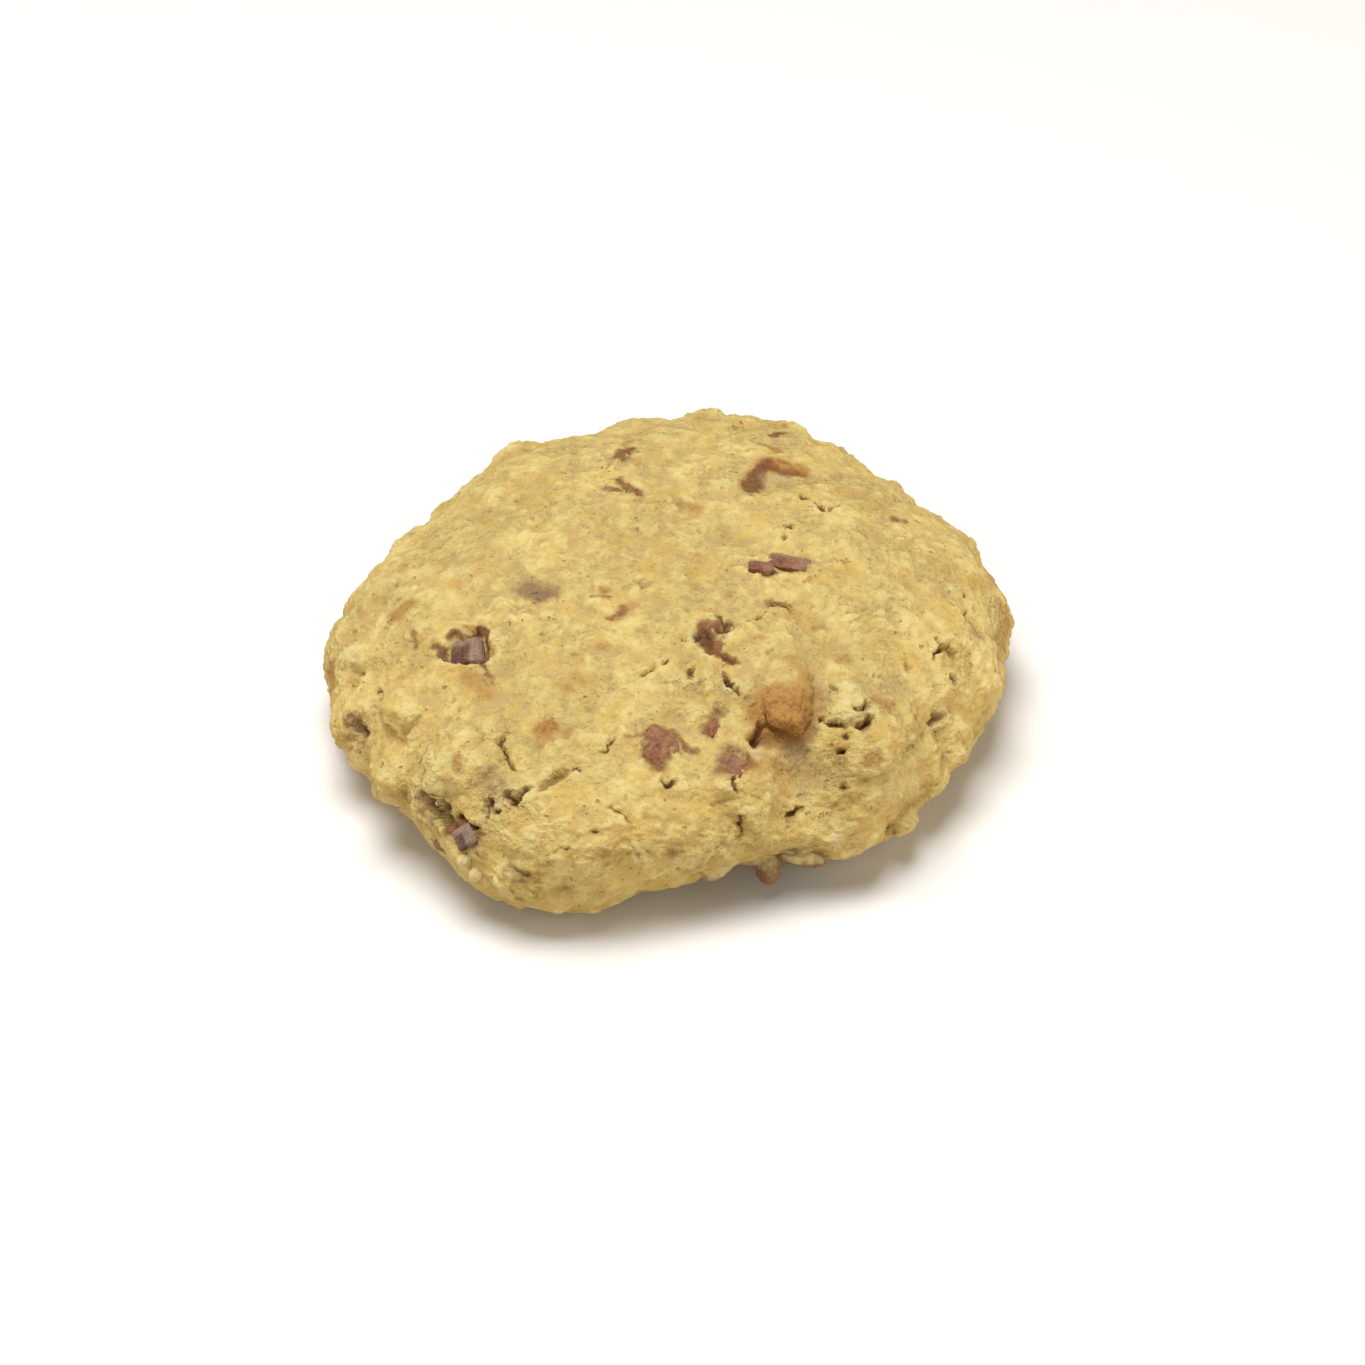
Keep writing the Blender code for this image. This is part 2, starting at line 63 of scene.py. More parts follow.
@dataclass(frozen=True)
class Swell:
    """A broad rise of the crust, or a dip where the height is negative."""

    x: float
    y: float
    reach: float
    height: float


@dataclass(frozen=True)
class Lift:
    """A stretch of the lower edge that curls up off the tray."""

    angle: float
    spread: float
    rise: float
    tuck: float


@dataclass(frozen=True)
class Lump:
    """A clump that is steep on the side it faces and leans out over it.

    A lump with no level sits on the crown. A roundness below 1 gives a blunt clump with a crease round it.
    """

    x: float
    y: float
    facing: float
    steep: float
    gentle: float
    half_width: float
    height: float
    overhang: float
    level: float | None = None
    roundness: float = 1.2
    corner: float = 2.0


@dataclass(frozen=True)
class Crack:
    """A split in the crust along plan points, with one side standing proud by the lip and shade painted
    inside it.
    """

    points: tuple[Point, ...]
    width: float
    depth: float
    lip: float = 0.0
    # how dark the shade painted inside the split is
    shade_strength: float = 1.0
    level: float | None = None


@dataclass(frozen=True)
class Window:
    """A torn opening in the crust that a chunk shows through."""

    x: float
    y: float
    length: float
    breadth: float
    turn: float
    depth: float
    level: float | None = None


class Tint(Enum):
    """What a patch of the crust is coloured by."""

    TOAST = "toast"
    # stain round the chunks, which also paints shade in hollows and crevices
    STAIN_AND_SHADE = "stain_and_shade"
    # scraps of nut skin, whose colour also paints shade along the cracks
    SKIN = "skin"
    PALE = "pale"


@dataclass(frozen=True)
class Stroke:
    """A coloured mark with a ragged edge, drawn along plan points."""

    points: tuple[Point, ...]
    width: float
    strength: float
    level: float | None = None


class Nut(Enum):
    """The kinds of piece set in the dough."""

    CHUNK = "nut_chunks"
    NUGGET = "nut_nuggets"
    SKIN = "nut_skins"
    CRUMB = "dough_crumbs"


@dataclass(frozen=True)
class Piece:
    """A piece set in or on the crust; proud is how far its top clears the skin round it."""

    kind: Nut
    x: float
    y: float
    length: float
    breadth: float
    thickness: float
    turn: float
    proud: float
    level: float | None = None


SWELLS = (
    Swell(-12, 8, 13, 0.7),
    Swell(19, 6, 12, 0.6),
    Swell(8, -14, 8, 0.6),
    Swell(14.5, -30.5, 4.2, -2.3),
    Swell(20.5, -27.5, 4.0, 0.9),
    Swell(-8, -37, 9, 0.8),
    Swell(-22.5, -17.5, 3.6, 0.8),
    Swell(-28, 4, 7, -0.7),
    Swell(-26, -4, 6, 0.7),
    Swell(13.5, 17.0, 3.4, -0.9),
    Swell(-16, -30, 4.5, -0.8),
    Swell(0, 28, 9, 0.6),
    Swell(30, -8, 6, 0.8),
    Swell(31, -20, 4.0, -1.3),
    Swell(-19, 24, 8, 0.7),
    Swell(25, 24, 8, -0.6),
)

LUMPS = (
    # The browned knob on the crown, the plate of crust behind it and the clots beside it.
    Lump(11.5, -15.5, 265, 5.0, 5.0, 6.0, 0.9, 0.2),
    Lump(12.9, -23.2, 266, 2.9, 7.4, 2.8, 2.5, 2.4, roundness=0.5, corner=2.6),
    Lump(19.6, -22.0, 285, 2.6, 4.0, 3.0, 1.2, 0.7, roundness=0.8),
    Lump(8.6, -33.0, 250, 3.2, 4.6, 4.4, 1.3, 0.5, roundness=0.9),
    Lump(-3.4, -23.5, 290, 4.0, 5.0, 5.0, 0.6, 0.2),
    # Clumps round the front left, where the crust broke away.
    Lump(-31.0, -25.0, 225, 3.4, 5.0, 4.2, 2.2, 1.0, 9.0, roundness=0.8),
    Lump(-22.8, -29.0, 240, 4.0, 7.0, 4.4, 2.0, 1.2, roundness=0.8),
    Lump(-36.2, -15.0, 205, 3.0, 4.4, 3.2, 1.6, 0.6, 9.5, roundness=0.8),
    Lump(-35.0, -9.5, 190, 2.6, 3.6, 2.8, 1.1, 0.4, 12.5, roundness=0.8),
    Lump(-29.5, -19.5, 230, 2.6, 4.0, 3.2, 1.3, 0.6, roundness=0.8),
    Lump(-25.5, -17.0, 250, 2.6, 3.0, 4.2, 0.9, 0.3, roundness=0.9),
    # The folded right flank below the ridge.
    Lump(23.2, -25.5, 325, 2.6, 7.5, 7.0, 1.9, 1.0, roundness=0.8),
    Lump(32.5, -17.5, 330, 3.0, 4.0, 3.6, 1.2, 0.6, 8.5, roundness=0.8),
    Lump(26.6, -28.0, 300, 2.4, 3.0, 2.6, 1.7, 0.9, 4.5, roundness=0.8),
    Lump(29.5, -23.0, 310, 2.2, 3.4, 2.4, 0.7, 0.4, 7.0, roundness=0.8),
    Lump(34.5, -8.5, 345, 2.6, 4.0, 3.4, 1.1, 0.5, 10.5, roundness=0.9),
    Lump(37.0, 4.5, 5, 2.6, 4.0, 3.6, 1.0, 0.4, 9.0, roundness=0.9),
    Lump(34.0, 14.0, 20, 2.4, 4.0, 3.4, 0.9, 0.4, 11.0, roundness=0.9),
    # Bumps that stand out of the back rim.
    Lump(4.4, 37.0, 90, 2.4, 3.0, 2.6, 1.2, 0.3, 14.0, roundness=0.8),
    Lump(-19.6, 29.8, 130, 2.2, 4.4, 4.2, 1.5, 0.4, 14.0, roundness=0.8),
    Lump(14.5, 37.0, 75, 2.4, 4.0, 3.4, 1.0, 0.3, 13.0, roundness=0.9),
    Lump(-31.0, 14.5, 150, 2.4, 4.0, 3.4, 0.7, 0.3, 12.5, roundness=0.9),
    Lump(27.5, 25.5, 45, 2.4, 4.0, 3.0, 0.5, 0.3, 12.0, roundness=0.9),
    # The drooping front lip.
    Lump(-14.0, -36.5, 262, 3.4, 6.0, 6.5, 0.9, 0.5, 6.5),
    Lump(20.0, -32.0, 300, 3.2, 5.0, 5.0, 1.0, 0.5, 6.5, roundness=0.9),
)

LIFTS = (
    Lift(288, 12, 3.8, 1.2),
    Lift(269, 9, 1.5, 0.3),
    Lift(222, 9, 2.0, 0.8),
)

CRACKS = (
    # Round the plate of crust and the knob.
    Crack(((5.1, -10.5), (5.7, -10.8), (6.3, -12.2), (7.1, -12.2), (7.9, -12.5)), 0.3, 0.8),
    Crack(((8.4, -12.0), (9.0, -11.4)), 0.22, 0.4, 0.0, 0.8),
    Crack(((9.4, -11.2), (10.1, -10.6), (10.8, -9.5)), 0.3, 0.7, -0.3),
    Crack(((11.0, -7.8), (11.7, -7.9), (12.5, -8.2), (13.2, -8.5), (13.9, -9.4)), 0.6, 1.0, -0.4, 0.75),
    Crack(((6.5, -12.1), (6.2, -13.2), (5.7, -13.4), (5.1, -12.3)), 0.45, 0.9),
    Crack(((4.2, -12.6), (3.8, -13.3), (3.7, -13.5), (4.0, -14.6), (4.4, -15.3), (4.8, -17.0)),
          0.75, 1.4, 0.0, 0.6),
    Crack(((2.7, -15.1), (3.6, -14.1)), 0.25, 0.5),
    Crack(((5.2, -16.5), (5.9, -17.0), (6.5, -17.6), (7.4, -18.2)), 0.5, 0.9, 0.0, 0.7),
    Crack(((5.9, -19.9), (6.4, -20.1), (6.3, -20.6), (6.7, -21.4), (7.2, -22.0), (7.9, -22.5)),
          0.36, 0.9, 0.3),
    Crack(((1.8, -19.0), (2.3, -19.3), (2.9, -19.1)), 0.35, 0.7),
    Crack(((2.2, -19.4), (2.2, -20.4)), 0.35, 0.4, 0.0, 0.4),
    Crack(((-3.1, -20.3), (-2.5, -19.8), (-1.8, -19.0), (-1.3, -18.4)), 0.35, 0.8, 0.3, 0.9),
    Crack(((-0.7, -18.3), (-0.4, -17.8), (-0.1, -17.3)), 0.35, 0.9, 0.2),
    Crack(((1.2, -14.2), (1.9, -14.5)), 0.3, 0.5),
    Crack(((8.8, -28.3), (9.3, -27.8), (9.9, -26.9), (10.2, -25.7)), 0.75, 1.7),
    Crack(((16.0, -24.9), (16.6, -25.1)), 0.4, 0.9, 0.0, 0.9),
    Crack(((17.0, -25.2), (17.5, -25.2), (18.2, -25.2), (18.5, -25.4), (19.0, -25.4), (19.6, -25.7)),
          0.36, 1.1, 0.5),
    Crack(((18.7, -26.5), (19.0, -27.1)), 0.28, 0.6),
    Crack(((20.0, -23.8), (20.7, -23.6), (21.3, -23.3), (21.7, -22.0)), 0.42, 1.3, 0.5),
    Crack(((21.9, -24.4), (21.5, -25.0), (20.8, -25.5), (20.4, -26.0)), 0.4, 1.2, 0.4),
    Crack(((18.5, -27.6), (18.5, -28.1)), 0.4, 1.3),
    Crack(((7.2, -32.9), (7.0, -32.7), (7.1, -33.4), (7.5, -33.9)), 0.36, 0.9, 0.3),
    Crack(((7.3, -35.3), (7.6, -35.7), (7.9, -36.1)), 0.32, 0.8, 0.3, 0.9),
    Crack(((12.6, -32.8), (13.1, -32.9), (13.7, -32.7), (13.9, -32.1), (14.3, -31.6)),
          0.42, 1.2, 0.3, 1.0, 11.0),
    # Down the front left, from the crown to the broken corner.
    Crack(((-17.4, -26.6), (-17.8, -26.7), (-18.1, -27.3), (-18.1, -28.0), (-17.6, -29.5),
           (-17.3, -30.2), (-16.9, -31.0), (-16.0, -31.8)),
          0.32, 1.0, 0.4),
    Crack(((-18.0, -34.1), (-17.3, -34.3), (-16.5, -35.5), (-15.7, -34.3), (-14.5, -34.4)),
          0.45, 1.3, -0.3),
    Crack(((-14.2, -34.2), (-13.1, -33.9), (-12.1, -33.4), (-11.2, -32.8), (-10.4, -32.6)),
          0.65, 0.9, -0.5, 0.45),
    Crack(((-10.4, -32.6), (-9.2, -33.3)), 0.25, 0.4, -0.2, 0.9),
    Crack(((-19.6, -35.9), (-19.4, -34.5), (-18.7, -35.9), (-18.0, -36.2)), 0.42, 1.2),
    Crack(((-23.0, -34.0), (-22.3, -34.1), (-21.2, -36.2), (-20.4, -36.1)), 0.35, 0.9, 0.3, 1.0, 12.0),
    Crack(((-7.4, -30.8), (-6.7, -30.8), (-6.3, -29.4), (-5.7, -28.9)), 0.26, 0.5, 0.3, 0.9),
    Crack(((-5.4, -28.8), (-4.6, -28.7), (-3.7, -28.6), (-2.7, -27.7)), 0.26, 0.3, 0.3, 0.4),
    Crack(((-0.8, -33.5), (-0.3, -33.5), (0.3, -33.3), (1.0, -33.4)), 0.28, 0.5, 0.2, 0.9),
    Crack(((-6.9, -37.2), (-6.1, -36.9), (-5.2, -37.1), (-4.5, -37.8), (-3.8, -37.9)),
          0.28, 0.4, -0.3, 0.7),
    # On the right flank.
    Crack(((29.9, -9.9), (30.1, -10.5), (30.3, -10.9), (29.8, -11.5), (29.4, -12.7)), 0.35, 0.9, 0.3),
    Crack(((30.3, -10.9), (31.2, -10.5), (31.6, -11.0), (32.1, -11.2)), 0.45, 0.6, 0.2, 0.45),
    Crack(((33.5, 0.4), (33.8, -0.7)), 0.28, 0.5, 0.0, 0.7),
    Crack(((33.9, -2.4), (33.5, -3.9)), 0.28, 0.5, 0.0, 0.7),
    Crack(((26.2, -13.5), (26.4, -14.5), (26.7, -15.2)), 0.45, 0.6, 0.2, 0.45),
    Crack(((31.4, -13.2), (32.0, -14.2)), 0.4, 0.6, 0.2, 0.55),
    Crack(((17.6, -19.9), (18.1, -21.5)), 0.4, 0.7, 0.0, 0.6),
    Crack(((28.7, -19.3), (28.8, -17.8), (29.4, -17.4), (30.3, -17.2)), 0.6, 1.2, -0.4, 0.6, 12.0),
    Crack(((35.2, -12.6), (35.6, -11.0)), 0.35, 0.6, 0.0, 0.6, 8.5),
    Crack(((18.7, -29.8), (19.1, -31.0)), 0.4, 0.8, 0.2, 0.6, 12.5),
    # At the back.
    Crack(((16.4, 11.5), (17.1, 11.4), (17.5, 10.4), (18.0, 10.3)), 0.55, 0.9),
    Crack(((18.0, 10.4), (19.0, 11.1), (20.3, 11.7)), 0.45, 0.7, -0.3, 0.7),
    Crack(((15.0, 13.6), (15.6, 13.2), (15.7, 11.6)), 0.5, 0.8),
    Crack(((13.6, 6.2), (13.8, 5.7), (14.1, 5.2)), 0.5, 0.9),
    Crack(((12.9, 4.4), (13.1, 3.7), (13.4, 3.2)), 0.35, 0.5, 0.0, 0.7),
    # Along the front lip and the left rim.
    Crack(((-11.4, -40.6), (-10.5, -40.3)), 0.3, 0.5, 0.0, 0.9, 12.5),
    Crack(((-8.2, -38.8), (-7.5, -39.0)), 0.28, 0.4, 0.0, 0.8),
    Crack(((-32.5, -15.4), (-32.0, -16.3)), 0.35, 0.6, 0.0, 0.9),
    Crack(((-34.7, -11.6), (-34.6, -12.2)), 0.7, 0.8, 0.0, 0.3),
    Crack(((-21.5, -37.6), (-21.2, -37.9), (-20.7, -37.9)), 0.45, 0.8, 0.0, 0.7, 9.5),
    Crack(((-27.5, -29.6), (-26.2, -32.1), (-25.3, -33.1), (-25.1, -34.1), (-25.0, -32.0)),
          1.3, 2.4, 0.0, 0.6, 11.5),
    Crack(((-36.1, -17.2), (-35.2, -18.1), (-34.2, -19.5)), 0.9, 1.2, 0.0, 0.6, 10.5),
    Crack(((-29.3, -21.4), (-29.6, -22.6), (-30.3, -21.6), (-31.3, -21.8)), 0.9, 0.9, 0.0, 0.12),
)

WINDOWS = (
    Window(-22.3, -13.7, 4.9, 5.3, 4, 1.2),
    Window(11.6, -1.6, 6.4, 2.0, -10, 0.3),
)

PIECES = (
    Piece(Nut.CHUNK, -22.3, -13.9, 3.7, 4.3, 3.2, 2, 1.3),
    Piece(Nut.NUGGET, -0.9, -29.6, 4.2, 4.6, 2.8, 20, 0.3),
    Piece(Nut.NUGGET, 7.0, -31.0, 3.6, 4.2, 2.8, 60, 0.34),
    Piece(Nut.CHUNK, -22.1, -35.9, 2.9, 2.3, 2.4, 30, 0.5, 10.4),
    Piece(Nut.NUGGET, -24.8, -32.2, 1.5, 2.8, 2.0, 40, 0.3, 6.6),
    Piece(Nut.SKIN, 10.6, -2.3, 2.7, 1.8, 1.0, -12, 0.34),
    Piece(Nut.SKIN, 13.6, -0.9, 4.6, 2.0, 0.9, -16, 0.3),
    Piece(Nut.NUGGET, 4.7, -26.6, 1.7, 2.8, 1.6, -12, 0.1),
    Piece(Nut.CRUMB, -22.3, -37.1, 1.7, 1.6, 2.1, 0, 0.9, 8.4),
    Piece(Nut.CRUMB, -21.0, -37.9, 1.7, 1.6, 1.8, 0, 0.8, 7.1),
    Piece(Nut.CRUMB, 5.4, -35.6, 3.6, 1.8, 1.7, 15, 0.6, 5.0),
    Piece(Nut.CRUMB, 13.6, -33.3, 5.4, 4.4, 2.4, -14, 1.3, 3.2),
    Piece(Nut.CRUMB, 9.2, -32.6, 5.4, 3.4, 2.4, 8, 1.5, 3.0),
    Piece(Nut.CRUMB, 10.4, -33.6, 2.9, 3.0, 4.2, 10, 3.2, 1.5),
)

SKIN_AND_SHADE_STROKES = (
    # The angled scrap near the back right.
    Stroke(((9.3, 14.2), (9.5, 15.4), (9.9, 17.0)), 2.1, 1.1),
    Stroke(((9.9, 17.0), (10.4, 18.3), (11.0, 19.3)), 1.4, 1.15),
    Stroke(((11.6, 20.6), (11.3, 19.7), (12.3, 19.5)), 1.2, 0.9),
    Stroke(((12.6, 19.2), (13.3, 18.9), (14.1, 18.7), (15.0, 19.2)), 1.3, 0.8),
    # Small scraps towards the back and specks on the crown.
    Stroke(((12.3, 28.3), (13.0, 29.1), (13.8, 30.5)), 0.9, 1.0),
    Stroke(((13.8, 34.9), (14.7, 35.7)), 0.6, 0.5),
    Stroke(((-6.2, 21.0), (-5.5, 21.9), (-4.8, 22.3)), 1.5, 1.0),
    Stroke(((-6.3, 19.9), (-7.0, 19.2), (-7.2, 17.7)), 0.8, 0.5),
    Stroke(((-7.3, 14.1), (-6.8, 13.5), (-6.2, 13.5)), 1.0, 0.9),
    Stroke(((-6.0, 15.3), (-5.4, 14.7), (-4.7, 14.1), (-3.8, 12.8)), 1.0, 0.95),
    Stroke(((-4.6, 5.3), (-3.7, 5.1)), 0.8, 0.55),
    Stroke(((-8.6, -7.0), (-7.6, -7.3), (-6.7, -7.2)), 0.6, 0.8),
    Stroke(((-6.5, -10.9), (-5.6, -10.2), (-4.9, -8.9)), 1.1, 0.75),
    Stroke(((-3.2, -5.0), (-2.7, -4.2), (-2.1, -4.0)), 0.6, 0.6),
    Stroke(((-7.0, -16.1), (-6.4, -16.3)), 0.6, 0.55),
    Stroke(((-10.7, -16.4), (-9.6, -16.7)), 0.6, 0.45),
    Stroke(((-10.6, -22.5), (-9.5, -22.8)), 0.6, 0.45),
    # Round the long scrap right of the middle.
    Stroke(((10.0, -2.1), (10.8, -2.2), (11.6, -2.5)), 1.5, 0.9),
    Stroke(((11.8, -0.2), (12.7, -0.6), (13.8, -1.0), (14.8, -1.6)), 1.0, 0.8),
    # Round the square chunk on the left.
    Stroke(((-26.1, -12.6), (-25.4, -13.5), (-24.9, -14.6)), 1.1, 1.0),
    Stroke(((-24.4, -11.5), (-23.9, -10.8), (-23.0, -11.4)), 0.9, 0.95),
    Stroke(((-21.8, -11.4), (-20.6, -11.0), (-20.1, -12.0)), 1.1, 1.05),
    Stroke(((-20.2, -11.9), (-20.4, -13.1), (-20.3, -17.4)), 0.6, 0.95),
    Stroke(((-28.9, -9.2), (-28.4, -10.6), (-28.3, -12.3)), 0.6, 0.75),
    Stroke(((-19.9, -18.0), (-19.4, -18.6), (-19.3, -19.4)), 0.6, 0.8),
    # Round the nuggets in the front half.
    Stroke(((-2.2, -28.7), (-1.1, -27.7), (-0.0, -27.8)), 2.0, 0.75),
    Stroke(((-2.0, -30.5), (-1.1, -31.7), (-0.6, -30.8)), 1.8, 1.0),
    Stroke(((0.2, -27.2), (1.1, -28.3), (2.1, -29.3), (3.0, -29.5)), 0.9, 0.85),
    Stroke(((5.0, -24.8), (5.8, -25.0)), 1.3, 0.8),
    Stroke(((4.2, -27.1), (4.6, -26.4), (4.9, -25.5)), 1.3, 0.75),
    Stroke(((5.8, -31.5), (6.4, -30.6), (6.8, -29.9)), 2.2, 0.7),
    Stroke(((7.3, -29.9), (8.2, -30.1), (8.3, -30.7)), 1.8, 0.75),
    Stroke(((5.9, -31.6), (7.0, -31.3)), 1.4, 0.9),
    # The left rim and the broken front corner.
    Stroke(((-35.2, -17.2), (-34.7, -17.5)), 1.2, 0.6, 12.0),
    Stroke(((-23.8, -34.1), (-22.9, -34.3)), 1.6, 1.0, 10.5),
    Stroke(((-22.6, -34.4), (-21.5, -36.4), (-20.6, -36.8)), 1.2, 0.85, 12.0),
    Stroke(((-22.2, -35.2), (-21.4, -37.4)), 1.6, 0.7, 11.0),
    Stroke(((-24.8, -33.5), (-24.7, -32.2), (-24.3, -32.8)), 1.4, 0.85, 6.5),
    # Shade painted down the crevice at the front left.
    Stroke(((-27.3, -29.8), (-26.2, -32.0), (-25.4, -33.4)), 1.8, 0.6, 11.5),
    # Single specks on the front lip and the right flank.
    Stroke(((-0.5, -38.8), (0.2, -38.4), (1.0, -38.5)), 1.0, 0.55, 10.5),
    Stroke(((26.0, 11.1), (26.9, 11.2)), 0.9, 0.85),
    Stroke(((27.3, -9.5), (27.9, -10.2)), 0.9, 0.4),
    Stroke(((23.9, -21.7), (24.0, -22.6)), 0.6, 0.6),
    Stroke(((12.6, -33.1), (13.1, -33.0)), 0.7, 0.6, 10.5),
    # Dark red-brown painted along the sides of the cracks, as shade.
    Stroke(((3.8, -13.2), (4.1, -14.8), (4.7, -15.6)), 2.0, 1.1),
    Stroke(((4.1, -12.6), (3.7, -13.3)), 1.8, 1.0),
    Stroke(((5.0, -16.3), (5.9, -17.0), (7.2, -18.0)), 1.1, 0.85),
    Stroke(((6.4, -12.2), (6.1, -13.3), (5.3, -12.4)), 1.3, 0.95),
    Stroke(((11.1, -7.8), (12.1, -8.0), (12.8, -8.3)), 1.1, 0.75),
    Stroke(((2.4, -21.4), (3.0, -22.0), (3.5, -22.4)), 0.9, 0.5),
    Stroke(((6.1, -19.9), (6.4, -20.7), (7.1, -21.8)), 0.9, 0.7),
    Stroke(((9.7, -26.6), (9.5, -27.5), (10.5, -27.3)), 1.5, 0.8),
    Stroke(((20.0, -25.1), (20.8, -25.4), (21.3, -23.3)), 1.2, 0.6),
    Stroke(((21.8, -29.1), (22.3, -28.9)), 1.2, 0.35),
    Stroke(((-13.4, -33.9), (-12.2, -33.5), (-11.2, -33.0)), 1.3, 0.45),
    Stroke(((-17.2, -34.4), (-16.4, -35.6)), 0.8, 0.6),
    Stroke(((-36.1, -17.3), (-35.2, -18.1), (-34.3, -19.3)), 1.8, 0.6, 10.5),
    Stroke(((-29.4, -22.1), (-29.8, -22.7), (-31.0, -21.8)), 1.4, 0.28),
)

